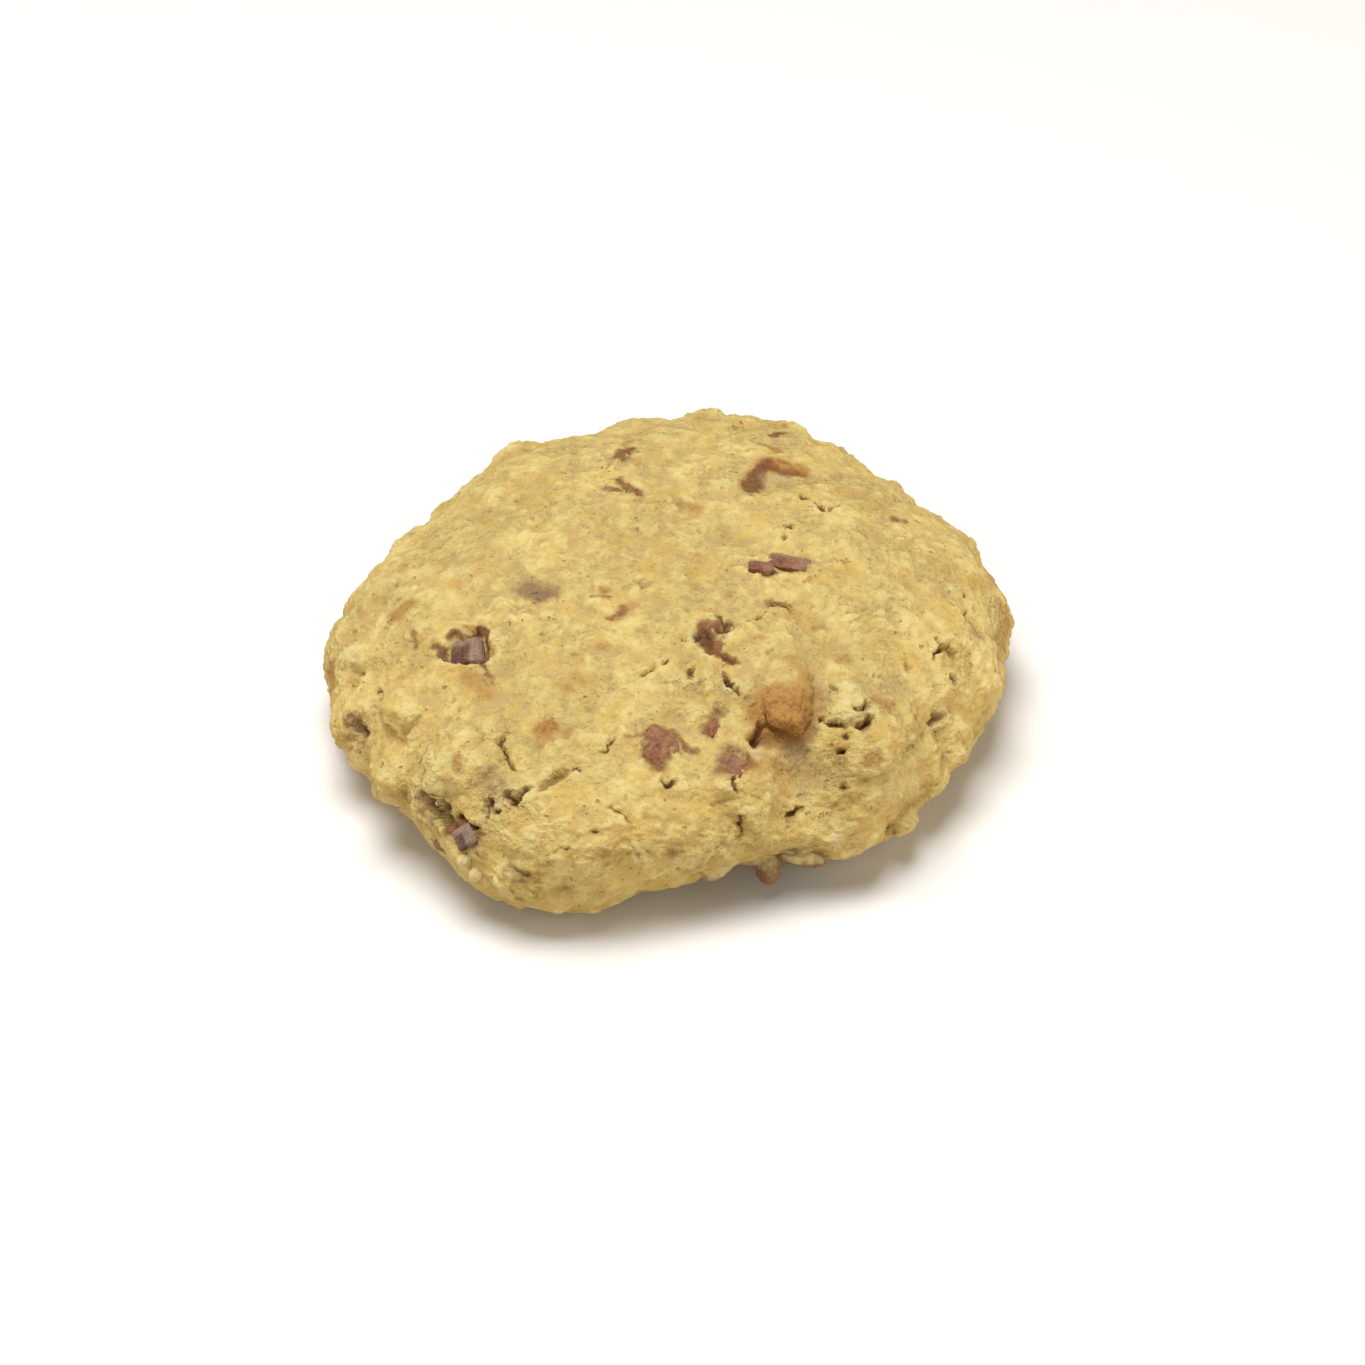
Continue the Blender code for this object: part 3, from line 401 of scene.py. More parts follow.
TOAST_AND_SHADE_STROKES = (
    # Spots on the crown.
    Stroke(((11.6, 20.0), (13.2, 20.1), (15.0, 19.8)), 2.4, 1.35),
    Stroke(((11.0, 25.1), (11.8, 24.2), (12.5, 23.9)), 1.5, 1.1),
    Stroke(((-5.4, 23.7), (-4.8, 25.2)), 1.4, 0.8),
    Stroke(((1.0, 10.2), (2.2, 10.1), (3.3, 10.2)), 1.3, 0.9),
    Stroke(((-1.9, 9.1), (-1.3, 9.6)), 0.6, 0.5),
    Stroke(((-7.5, -6.0), (-6.9, -6.1)), 1.1, 0.9),
    Stroke(((-5.7, -10.5), (-4.8, -8.9), (-4.1, -8.2)), 1.3, 0.7),
    Stroke(((-7.6, -15.4), (-6.7, -15.5)), 1.2, 0.9),
    Stroke(((-4.2, -17.5), (-3.4, -17.8)), 1.8, 0.5),
    Stroke(((-11.2, -21.1), (-9.9, -20.8)), 2.6, 0.6),
    # The left side and the front corner.
    Stroke(((-30.6, -6.4), (-29.9, -5.9), (-29.2, -5.5)), 1.8, 0.9),
    Stroke(((-33.4, -2.2), (-31.5, -3.4)), 1.6, 0.6),
    Stroke(((-35.3, -2.7), (-34.8, -5.0)), 1.4, 0.7),
    Stroke(((-26.3, -12.7), (-26.0, -12.0)), 1.2, 0.6),
    Stroke(((-21.8, -19.0), (-20.6, -19.7), (-20.2, -20.9)), 2.4, 0.85),
    Stroke(((-13.4, -27.3), (-12.7, -26.8)), 1.9, 1.15),
    Stroke(((-14.1, -26.6), (-13.5, -26.0)), 1.8, 0.4),
    Stroke(((-11.0, -27.2), (-10.9, -28.1)), 1.0, 0.8),
    Stroke(((-23.0, -29.7), (-22.9, -31.3)), 1.1, 0.85),
    Stroke(((-23.6, -27.1), (-23.6, -27.7)), 0.8, 0.7),
    Stroke(((-23.7, -32.9), (-21.7, -33.1), (-21.1, -32.8)), 2.4, 0.45),
    Stroke(((-31.4, -21.2), (-29.8, -22.6)), 1.6, 0.45),
    Stroke(((-38.3, -6.4), (-38.6, -8.6)), 2.6, 1.0, 9.6),
    Stroke(((-31.7, -26.6), (-32.0, -27.7), (-30.4, -28.4)), 3.4, 0.35, 10.0),
    Stroke(((-36.4, -14.9), (-35.7, -16.0)), 2.4, 0.3, 12.0),
    # Round the knob and down to the front lip.
    Stroke(((9.0, -30.6), (10.1, -30.9), (11.0, -29.7)), 1.8, 0.85),
    Stroke(((11.5, -28.2), (12.5, -29.4), (12.7, -31.2)), 1.6, 0.6),
    Stroke(((8.2, -15.4), (9.2, -15.2), (10.1, -14.9)), 1.3, 0.65),
    Stroke(((16.1, -11.9), (16.9, -11.4)), 1.2, 0.75),
    Stroke(((18.8, -15.9), (19.5, -15.5)), 1.3, 0.7),
    Stroke(((17.8, -18.6), (18.6, -19.5)), 1.1, 0.55),
    Stroke(((22.7, -21.3), (23.4, -21.5), (24.2, -21.1)), 1.6, 0.85),
    Stroke(((24.1, -25.5), (24.7, -25.1)), 0.8, 0.7),
    Stroke(((21.5, -28.9), (22.2, -28.7)), 1.6, 0.95),
    Stroke(((18.9, -30.0), (20.3, -30.7), (21.4, -30.2)), 2.0, 0.6, 12.5),
    # Faint shade painted down the right flank below the ridge, in toast colour.
    Stroke(((23.3, -29.0), (24.5, -27.6), (25.6, -24.1)), 2.2, 0.45),
    Stroke(((21.8, -27.9), (22.6, -29.6), (22.2, -29.8)), 3.0, 0.4),
    Stroke(((23.4, -30.4), (21.4, -31.8), (19.4, -32.2)), 4.0, 0.35, 11.0),
    Stroke(((21.6, -33.0), (20.3, -33.5)), 3.4, 0.4, 8.0),
    # The right rim, the back and the front lip.
    Stroke(((24.2, 12.6), (25.9, 11.8)), 1.8, 0.5),
    Stroke(((31.6, 2.7), (32.6, 4.1)), 1.3, 0.7),
    Stroke(((25.9, -1.9), (28.2, -1.1), (30.1, 1.7)), 3.0, 0.3),
    Stroke(((35.4, 2.8), (37.8, 9.7)), 2.4, 0.65),
    Stroke(((38.6, 3.1), (38.7, 1.5), (38.1, -1.9)), 2.2, 0.8, 10.5),
    Stroke(((3.7, 35.1), (4.8, 31.4), (5.6, 31.2)), 2.0, 0.6),
    Stroke(((-20.2, 27.0), (-18.7, 27.0), (-17.3, 27.6)), 1.6, 0.6),
    Stroke(((-17.9, 23.7), (-17.2, 21.9)), 1.2, 0.4),
    Stroke(((-12.0, 5.2), (-11.2, 4.7)), 1.2, 0.45),
    Stroke(((6.8, 13.6), (5.2, 13.4), (3.3, 14.4)), 2.0, 0.35),
    Stroke(((-1.6, -38.9), (0.2, -38.4), (1.5, -38.5)), 1.6, 0.55, 11.0),
    Stroke(((-5.6, -36.6), (-3.9, -36.3)), 1.8, 0.35),
    Stroke(((-4.5, -40.1), (-3.5, -39.7)), 2.6, 0.35, 11.0),
    Stroke(((3.2, -37.2), (2.1, -37.7)), 1.4, 0.35, 12.0),
    Stroke(((-17.8, -40.7), (-17.2, -41.0)), 1.0, 0.6, 7.0),
    Stroke(((1.9, -25.4), (-1.1, -26.0)), 1.2, 0.35),
    Stroke(((29.2, -9.2), (30.0, -8.8)), 1.0, 0.5),
    Stroke(((24.0, -6.7), (25.6, -8.7)), 2.5, 0.25),
    Stroke(((32.1, -19.3), (32.8, -18.1)), 2.0, 0.35, 10.0),
    Stroke(((26.0, -28.6), (26.6, -27.6)), 1.4, 0.5, 6.5),
    # The knob.
    Stroke(((13.7, -19.1), (14.8, -20.1), (15.4, -21.7)), 2.8, 0.8),
    Stroke(((11.6, -24.0), (12.9, -24.6), (14.0, -24.4)), 4.4, 1.12),
    Stroke(((11.8, -26.2), (13.4, -26.6), (12.4, -27.2)), 4.6, 1.35),
    Stroke(((10.9, -25.1), (10.9, -25.6), (11.0, -26.2)), 2.4, 0.7),
    Stroke(((10.4, -20.8), (9.7, -21.5)), 3.4, 0.35),
    Stroke(((12.6, -21.5), (12.9, -23.2)), 4.4, 0.6),
    # The back rim.
    Stroke(((-9.6, 37.0), (-7.4, 37.2)), 2.4, 0.6, 10.0),
    Stroke(((18.4, 34.0), (20.2, 33.0)), 2.0, 0.7, 8.0),
    Stroke(((-27.6, 23.0), (-26.4, 24.6)), 2.6, 0.5, 9.0),
    Stroke(((28.6, 25.0), (27.4, 26.8)), 2.2, 0.6, 7.5),
    Stroke(((3.0, 38.6), (4.6, 38.4)), 1.4, 0.8, 6.5),
    Stroke(((-36.6, 6.4), (-36.4, 8.2)), 2.2, 0.6, 9.0),
)

STAIN_AND_SHADE_STROKES = (
    # The crown.
    Stroke(((-15.8, -5.3), (-14.6, -5.9), (-13.8, -6.2)), 2.7, 1.1),
    Stroke(((-15.6, -4.2), (-14.0, -4.7)), 2.0, 0.7),
    Stroke(((-17.4, -0.3), (-16.8, -2.2), (-15.8, -3.5)), 1.3, 0.7),
    Stroke(((-17.6, -8.4), (-16.4, -8.3), (-14.8, -7.2)), 1.2, 0.55),
    Stroke(((-5.8, 20.1), (-4.9, 20.5)), 1.2, 0.8),
    Stroke(((-3.5, 12.5), (-3.3, 11.3)), 0.9, 0.5),
    Stroke(((8.9, 12.6), (9.9, 13.7)), 1.3, 0.8),
    Stroke(((11.1, 17.1), (12.7, 17.4), (14.1, 17.6)), 2.0, 0.45),
    Stroke(((11.8, 0.0), (13.4, -0.1), (15.2, -0.7), (15.9, -1.3)), 1.4, 0.85),
    Stroke(((3.3, 2.6), (5.0, 1.8), (6.5, 1.9)), 2.6, 0.35),
    # Round the plate of crust and the nuggets.
    Stroke(((4.6, -13.4), (5.6, -16.0), (6.7, -17.0)), 2.6, 0.6),
    Stroke(((6.1, -15.2), (7.6, -16.2)), 2.6, 0.35),
    Stroke(((7.1, -12.9), (8.1, -17.1)), 2.5, 0.3),
    Stroke(((6.0, -23.3), (7.6, -22.8), (8.9, -23.3)), 2.2, 0.5),
    Stroke(((4.5, -19.2), (3.9, -18.0), (3.2, -16.9)), 2.0, 0.35),
    Stroke(((4.8, -20.5), (5.6, -21.0)), 2.4, 0.35),
    Stroke(((4.2, -26.5), (4.5, -27.5)), 1.8, 0.8),
    Stroke(((-1.7, -29.2), (-0.3, -28.8), (0.8, -29.4)), 2.6, 0.75),
    Stroke(((1.5, -30.6), (2.1, -31.4)), 2.4, 0.45),
    Stroke(((5.9, -30.5), (7.3, -30.0), (7.9, -30.8)), 2.6, 0.55),
    # The front left corner and the left rim.
    Stroke(((-22.1, -34.9), (-20.9, -37.1)), 2.6, 0.9, 11.0),
    Stroke(((-19.6, -37.0), (-18.8, -37.7)), 2.0, 0.5, 12.0),
    Stroke(((-22.9, -35.1), (-21.7, -37.2)), 1.4, 0.7, 10.0),
    Stroke(((-20.0, -29.0), (-19.0, -30.2), (-18.6, -31.8)), 2.6, 0.5),
    Stroke(((-19.4, -32.0), (-18.6, -33.6), (-18.3, -34.0)), 2.8, 0.75),
    Stroke(((-17.6, -39.4), (-16.7, -39.9), (-16.1, -40.7)), 1.8, 0.6, 9.0),
    Stroke(((-18.7, -38.7), (-17.7, -39.1)), 1.8, 0.4, 10.5),
    # These three paint shade down the crevice at the front left.
    Stroke(((-27.2, -30.0), (-26.0, -32.4), (-25.4, -33.6)), 3.2, 0.45, 11.5),
    Stroke(((-29.0, -28.7), (-27.9, -29.7)), 2.4, 0.45, 11.0),
    Stroke(((-27.5, -26.6), (-26.7, -29.9)), 2.2, 0.5),
    # Shade painted under the clump on the left rim.
    Stroke(((-36.2, -16.9), (-35.0, -18.0)), 2.4, 0.7, 11.0),
    Stroke(((-35.6, -10.4), (-35.0, -11.7)), 2.6, 0.5),
    Stroke(((-37.7, -6.1), (-36.5, -11.2)), 2.6, 0.35, 13.0),
    # Beside and below the knob, where these strokes paint shade at its right edge and in the hollow under
    # it.
    Stroke(((15.6, -24.6), (15.8, -24.8), (15.4, -26.2)), 1.4, 0.6),
    Stroke(((16.3, -21.2), (17.4, -21.7), (16.9, -22.5)), 2.6, 0.5),
    Stroke(((16.0, -19.8), (17.4, -19.7)), 2.0, 0.4),
    Stroke(((14.0, -27.1), (12.5, -27.5), (13.6, -27.8)), 3.6, 0.8, 14.5),
    Stroke(((13.6, -28.6), (15.3, -28.8), (17.3, -29.2)), 4.4, 0.58, 14.0),
    Stroke(((14.0, -29.4), (13.5, -28.7)), 3.0, 0.5, 14.0),
    # The right flank and the front lip.
    Stroke(((34.4, -5.0), (34.9, -5.7)), 2.2, 0.8),
    Stroke(((37.2, 3.2), (37.5, 2.4)), 1.8, 0.7, 12.0),
    Stroke(((37.4, 1.6), (38.0, -0.6)), 2.4, 0.4, 12.0),
    Stroke(((29.3, -18.1), (30.4, -17.1), (31.0, -16.4)), 2.2, 0.6, 12.0),
    # Faint shade painted down the right flank below the ridge.
    Stroke(((26.5, -24.7), (25.6, -27.8), (23.9, -29.7)), 3.0, 0.35, 10.0),
    Stroke(((13.0, -34.0), (14.7, -33.7), (16.3, -32.6)), 2.6, 0.7, 6.0),
    Stroke(((12.5, -34.3), (13.2, -34.0)), 1.0, 0.8, 7.0),
    Stroke(((11.3, -35.5), (12.3, -35.0)), 2.4, 0.3, 9.5),
    Stroke(((10.8, -27.5), (10.2, -28.8)), 1.5, 0.5),
    Stroke(((-21.3, 5.2), (-20.2, 6.7)), 2.6, 0.3),
    Stroke(((-3.6, 9.9), (-2.7, 7.7)), 2.6, 0.3),
    Stroke(((27.0, 9.9), (29.3, 8.9)), 3.2, 0.25),
)

PALE_STROKES = (
    Stroke(((10.9, 17.0), (12.5, 18.0), (13.9, 17.6)), 1.8, 0.55),
    Stroke(((9.2, -29.1), (9.9, -29.2)), 1.8, 0.65),
    Stroke(((-21.1, -17.9), (-20.1, -18.0)), 0.8, 0.45),
    Stroke(((-18.7, 24.5), (-17.5, 23.4)), 1.0, 0.8),
    Stroke(((17.8, -33.8), (18.3, -34.0)), 0.9, 0.9, 9.0),
    Stroke(((17.6, -34.4), (18.4, -34.1)), 0.9, 0.7, 7.0),
    Stroke(((-23.5, -33.6), (-23.7, -32.9)), 1.4, 0.5, 12.5),
    Stroke(((-24.4, -33.5), (-24.1, -33.6)), 0.8, 0.6, 9.0),
    Stroke(((-7.5, -30.5), (-8.6, -30.1)), 0.9, 0.4),
    Stroke(((-9.0, 21.2), (-8.9, 24.7)), 1.0, 0.5),
)

STROKES = {
    Tint.SKIN: SKIN_AND_SHADE_STROKES,
    Tint.TOAST: TOAST_AND_SHADE_STROKES,
    Tint.STAIN_AND_SHADE: STAIN_AND_SHADE_STROKES,
    Tint.PALE: PALE_STROKES,
}

RIM_RADII = (  # rim radius every 15 degrees, anticlockwise from +X
    38.6, 39.3, 38.2, 38.6, 40.8, 40.9, 39.2, 37.8, 37.2, 35.4, 34.8, 36.8,
    39.2, 39.6, 39.2, 40.2, 43.2, 42.2, 38.6, 37.2, 38.1, 37.8, 37.0, 37.8,
)  # fmt: skip


# ---- Shader maths ----


OBJECT_OUTPUT = 3  # of a Texture Coordinate node
FACTOR_OUTPUT = 2  # of an Attribute node
MIX_COLOURS = (6, 7)  # the colour inputs of a Mix node
MIX_OUTPUT = 2
CELL_COLOUR = 1  # the colour output of a Voronoi node
HEIGHT_OUTPUT = 2  # the Z output of a Separate XYZ node


class Socket:
    """A number, colour or vector that varies over a surface; Python's operators stand for Math nodes."""

    def __init__(self, shader: "Shader", output: bpy.types.NodeSocket) -> None:
        self.shader = shader
        self.output = output

    def _math(self, operation: str, *values: "Socket | float") -> "Socket":
        """Adds a Math node over the values and wraps its result."""
        return self.shader.node("ShaderNodeMath", {"operation": operation}, dict(enumerate(values)))

    def __add__(self, other: "Socket | float") -> "Socket":
        """self + other."""
        return self._math("ADD", self, other)

    def __sub__(self, other: "Socket | float") -> "Socket":
        """self - other."""
        return self._math("SUBTRACT", self, other)

    def __mul__(self, other: "Socket | float") -> "Socket":
        """self * other."""
        return self._math("MULTIPLY", self, other)

    def __abs__(self) -> "Socket":
        """The value without its sign."""
        return self._math("ABSOLUTE", self)

    def ramp(self, low: float, high: float) -> "Socket":
        """0 below low, 1 above high and a smooth ramp between; low may be above high."""
        settings = {"interpolation_type": "SMOOTHSTEP"}
        return self.shader.node("ShaderNodeMapRange", settings, {0: self, 1: low, 2: high})


class Shader:
    """The node tree of one material, with a Principled BSDF at its end."""

    def __init__(self, name: str) -> None:
        self.material = bpy.data.materials.new(name)
        self.material.use_nodes = True
        self.tree = self.material.node_tree
        self.surface = self.tree.nodes["Principled BSDF"]

    def node(self, kind: str, settings: dict[str, Any], inputs: dict[Any, Any], output: int = 0) -> Socket:
        """Adds a node.

        Args:
            kind: the node's type.
            settings: its properties, which are set before its sockets.
            inputs: a value or Socket for each named or numbered input.
            output: which output is wanted.

        Returns:
            The wanted output.
        """
        made = self.tree.nodes.new(kind)
        for name, value in settings.items():
            setattr(made, name, value)
        for key, value in inputs.items():
            if isinstance(value, Socket):
                self.tree.links.new(value.output, made.inputs[key])
            else:
                made.inputs[key].default_value = value
        return Socket(self, made.outputs[output])

    def place(self) -> Socket:
        """Object coordinates in millimetres."""
        metres = self.node("ShaderNodeTexCoord", {}, {}, output=OBJECT_OUTPUT)
        return self.node("ShaderNodeVectorMath", {"operation": "SCALE"}, {0: metres, "Scale": 1 / MM})

    def attribute(self, name: str) -> Socket:
        """A painted mask of the mesh, from 0 to 1."""
        return self.node("ShaderNodeAttribute", {"attribute_name": name}, {}, output=FACTOR_OUTPUT)

    def noise(self, place: Socket, size: float, detail: float = 2.0, rough: float = 0.5) -> Socket:
        """Cloudy noise from 0 to 1 whose blobs are about size millimetres across."""
        inputs = {"Vector": place, "Scale": 1 / size, "Detail": detail, "Roughness": rough}
        return self.node("ShaderNodeTexNoise", {}, inputs)

    def cells(self, place: Socket, size: float, output: int = 0) -> Socket:
        """Distance to the nearest of scattered points about size millimetres apart, or its colour."""
        return self.node("ShaderNodeTexVoronoi", {}, {"Vector": place, "Scale": 1 / size}, output)

    def mix(self, factor: Socket | float, first: Socket | Colour, second: Socket | Colour) -> Socket:
        """Blends two colours."""
        a, b = (colour if isinstance(colour, Socket) else (*colour, 1.0) for colour in (first, second))
        inputs = {0: factor, MIX_COLOURS[0]: a, MIX_COLOURS[1]: b}
        return self.node("ShaderNodeMix", {"data_type": "RGBA"}, inputs, MIX_OUTPUT)

    def bump(self, height: Socket, distance: float) -> Socket:
        """A normal tilted by a height that varies from 0 to 1 over distance millimetres."""
        return self.node("ShaderNodeBump", {}, {"Distance": distance * MM, "Height": height})

    def finish(self, **inputs: Any) -> bpy.types.Material:
        """Feeds the surface's sockets, whose names have underscores for spaces.

        Args:
            **inputs: a value or Socket for each socket.

        Returns:
            The finished material.
        """
        for key, value in inputs.items():
            socket = self.surface.inputs[key.replace("_", " ")]
            if isinstance(value, Socket):
                self.tree.links.new(value.output, socket)
            elif isinstance(value, tuple):
                socket.default_value = (*value, 1.0)
            else:
                socket.default_value = value
        return self.material


# ---- Finishes ----


@dataclass(frozen=True)
class DoughFinish:
    """Baked dough: butter-yellow lumps with painted highlights, beige hollows, pores and dark cracks with
    painted shade, flanks lifted with painted light, toasted patches and specks.
    """

    butter: Colour = (0.56, 0.44, 0.160)
    straw: Colour = (0.505, 0.376, 0.127)
    beige: Colour = (0.435, 0.306, 0.117)
    amber: Colour = (0.48, 0.315, 0.085)
    hollow_shade: Colour = (0.28, 0.172, 0.055)
    toast: Colour = (0.365, 0.195, 0.046)
    crust: Colour = (0.25, 0.105, 0.024)
    stain_and_shade: Colour = (0.18, 0.105, 0.058)
    skin: Colour = (0.155, 0.054, 0.020)
    pale: Colour = (0.52, 0.43, 0.25)
    gap: Colour = (0.10, 0.046, 0.015)
    cream: Colour = (0.60, 0.50, 0.235)
    golden_and_painted_light: Colour = (0.60, 0.43, 0.142)
    roughness: float = 0.82

    def material(self) -> bpy.types.Material:
        """Builds the dough's material.

        Returns:
            The material, which reads the masks that Dough paints.
        """
        s = Shader("baked_dough")
        mm = s.place()
        painted_light_relief = s.attribute("painted_light_relief")
        clouds = s.noise(mm, 5.5, 4.0, 0.6)
        mottle = s.noise(mm, 1.5, 3.0, 0.6)
        grain = s.noise(mm, 0.5, 3.0, 0.65)
        crumbs = s.cells(mm, 0.8)
        flank = s.attribute("flank")
        # Painted light and shade: the relief mask makes bumps lighter, up to cream as painted highlights,
        # and hollows darker beige as painted shade. The clouds, mottle and grain are the dough's own uneven
        # tone.
        tone_and_painted_light = painted_light_relief * 0.85 + clouds * 0.8 + mottle * 0.7 + grain * 0.6 + flank * 0.33 - 1.02
        colour = s.mix(tone_and_painted_light.ramp(0.25, 0.52), self.beige, self.straw)
        colour = s.mix(tone_and_painted_light.ramp(0.48, 0.72), colour, self.butter)
        colour = s.mix(tone_and_painted_light.ramp(0.68, 0.95) * 0.6, colour, self.cream)
        # Painted light: steep flanks turn a lighter golden, partly their own bake and partly to make up for
        # the light they miss; the tone is lifted on them too.
        colour = s.mix(flank * 0.5, colour, self.golden_and_painted_light)
        warmth = (s.noise(mm, 3.6, 3.0, 0.65) + mottle * 0.4 + flank * 0.1).ramp(0.67, 0.88)
        colour = s.mix(warmth * 0.75, colour, self.amber)
        # Painted shade, olive-brown, in the hollows between grains and in small pits.
        colour = s.mix((grain * 0.6 + mottle * 0.4).ramp(0.46, 0.3) * 0.6, colour, self.hollow_shade)
        shaded_pits = s.noise(mm, 1.1, 2.0, 0.6).ramp(0.325, 0.27) * s.noise(mm, 8.0).ramp(0.38, 0.62)
        colour = s.mix(shaded_pits * 0.7, colour, self.hollow_shade)
        # Scattered toasted crumbs and the browned places.
        ragged = mottle * 0.8 + grain * 0.5 - 0.65
        cast = s.node("ShaderNodeSeparateColor", {}, {0: s.cells(mm, 3.4, CELL_COLOUR)})
        spots = s.cells(mm, 3.4) + ragged * 0.5
        scattered = spots.ramp(0.34, 0.12) * cast.ramp(0.68, 0.85)
        # The toast mask also carries a faint band of shade painted down the right flank.
        toast = (s.attribute("toast") * 0.85 + ragged * 1.1).ramp(0.15, 1.05)
        colour = s.mix(scattered * 0.45, colour, self.toast)
        browned = s.mix((grain + mottle * 0.6).ramp(0.88, 0.66), self.toast, self.crust)
        colour = s.mix(toast, colour, browned)
        # Mauve-grey stain round the chunks, broken into specks, whose colour also paints shade beside and
        # under the knob, in crevices at the front left and down the right flank; and scraps of red-brown
        # skin, whose colour also paints shade along the cracks.
        speckle = s.noise(mm, 0.32, 2.0, 0.6)
        stain_and_shade = (s.attribute("stain_and_shade") * 0.85 + ragged * 1.3 + speckle * 0.8 - 0.42).ramp(0.2, 1.05)
        colour = s.mix(stain_and_shade * 0.85, colour, self.stain_and_shade)
        # The skin mask also carries the shade painted along the cracks and down the front-left crevice.
        skin = (s.attribute("skin") + ragged * 1.5).ramp(0.2, 1.05)
        colour = s.mix(skin * 0.92, colour, s.mix(mottle.ramp(0.5, 0.75), self.skin, self.crust))
        pale = (s.attribute("pale") + ragged * 0.9).ramp(0.3, 1.0)
        colour = s.mix(pale * 0.75, colour, self.pale)
        # Painted shade inside the splits, whose sides are told apart so that a thin one stays crisp.
        inside = (abs(s.attribute("split")) + ragged * 1.3).ramp(1.0, 0.35)
        crack_shade = inside * s.attribute("gap").ramp(0.05, 0.95)
        colour = s.mix(crack_shade * 0.9, colour, self.gap)
        torn = s.noise(mm, 6.5, 2.0).ramp(0.38, 0.6) * 0.7 + 0.3
        height = (grain * 0.6 - crumbs * 0.4) * torn + mottle * 0.45 - shaded_pits * 0.4
        return s.finish(
            Base_Color=colour,
            Roughness=self.roughness,
            Specular_IOR_Level=0.25,
            Normal=s.bump(height, 0.75),
        )


@dataclass(frozen=True)
class ChunkFinish:
    """A toasted nut chunk in its skin: red-brown, dusted with a whitish bloom."""

    name: str
    core: Colour = (0.14, 0.058, 0.030)
    deep: Colour = (0.075, 0.025, 0.013)
    bloom: Colour = (0.32, 0.225, 0.155)
    dust: float = 0.68
    roughness: float = 0.55

    def material(self) -> bpy.types.Material:
        """Builds the chunk's material.

        Returns:
            The material.
        """
        s = Shader(self.name)
        mm = s.place()
        mottle = s.noise(mm, 0.9, 3.0, 0.65)
        grain = s.noise(mm, 0.22, 2.0, 0.6)
        colour = s.mix(mottle.ramp(0.3, 0.7), self.deep, self.core)
        dust = (mottle * 0.6 + grain * 0.9 + s.attribute("bloom") * 0.3).ramp(0.7, 1.15) * self.dust
        colour = s.mix(dust, colour, self.bloom)
        return s.finish(
            Base_Color=colour,
            Roughness=self.roughness,
            Specular_IOR_Level=0.4,
            Normal=s.bump(mottle + grain * 0.5, 0.25),
        )


@dataclass(frozen=True)
class CrumbFinish:
    """Loose dough crumbs: creamy, turning brown the lower they sit as painted shade under the lip, with
    brown specks.
    """

    cream: Colour = (0.52, 0.405, 0.17)
    brown_and_shade: Colour = (0.20, 0.098, 0.034)
    roughness: float = 0.75

    def material(self) -> bpy.types.Material:
        """Builds the crumbs' material.

        Returns:
            The material.
        """
        s = Shader("dough_crumb")
        mm = s.place()
        level = s.node("ShaderNodeSeparateXYZ", {}, {0: mm}, HEIGHT_OUTPUT)
        mottle = s.noise(mm, 1.2, 3.0, 0.6)
        # Painted shade: crumbs that sit low, under the lip, turn brown.
        low = (level * -0.22 + mottle * 0.9).ramp(-0.85, -0.35)
        colour = s.mix(low, self.cream, self.brown_and_shade)
        colour = s.mix(s.noise(mm, 0.4).ramp(0.5, 0.2) * 0.35, colour, self.brown_and_shade)
        height = s.noise(mm, 0.5, 3.0, 0.6)
        return s.finish(Base_Color=colour, Roughness=self.roughness, Normal=s.bump(height, 0.25))


@dataclass(frozen=True)
class FloorFinish:
    """A matt pale sweep."""

    white: Colour = (0.72, 0.705, 0.685)

    def material(self) -> bpy.types.Material:
        """Builds the floor's material.

        Returns:
            The material.
        """
        s = Shader("pale_sweep")
        return s.finish(Base_Color=self.white, Roughness=1.0, Specular_IOR_Level=0.0)


PIECE_FINISHES = {
    Nut.CHUNK: ChunkFinish("nut_chunk"),
    Nut.NUGGET: ChunkFinish(
        "nut_nugget",
        core=(0.265, 0.105, 0.038),
        deep=(0.15, 0.05, 0.019),
        bloom=(0.32, 0.20, 0.105),
        dust=0.3,
    ),
    Nut.SKIN: ChunkFinish(
        "nut_skin",
        core=(0.23, 0.078, 0.030),
        deep=(0.12, 0.036, 0.015),
        bloom=(0.34, 0.22, 0.13),
        dust=0.4,
    ),
    Nut.CRUMB: CrumbFinish(),
}


# ---- The dough ----


FOOT_FADE = 2.5  # height over which the shapes fade in above the foot
PATCH_RADIUS = 1.6  # of the skin round a place, whose mean normal is the way out
CROWN_SLOPE = 0.05  # upward share of the normal that still counts as crown
ZIGZAG = 0.26  # how far a line strays between its points
ZIGZAG_SIZE = 0.7
ZIGZAG_STEPS = 5
EDGE_STRAY = 0.3  # how far the edges of cracks and marks stray
EDGE_SCALE = 1.5
LEFT_OUT = 0.85  # share of the height off a line that doesn't count as distance
LIP_REACH = 5.0  # how far off a crack its lip still counts
LIP_FADE = 1.4
SPLIT_REACH = 3.0  # how far off a crack its masks are painted
RELIEF_ROUNDS = 24  # how often the skin is averaged, to tell its bumps from its hollows
RELIEF_GAIN = 1.6
MARK_REACH = 1.2  # how far off its line a mark counts, as a share of its width
MARK_CORE = 1.5  # a mark is at its full strength where core less fall by width is 1 or more
MARK_FALL = 1.6
FAR = 1e6  # a distance that rules a vertex out


def smooth_step(low: float, high: float, value: Array) -> Array:
    """0 below low, 1 above high, and a smooth ramp between."""
    t = np.clip((value - low) / (high - low), 0, 1)
    return t * t * (3 - 2 * t)


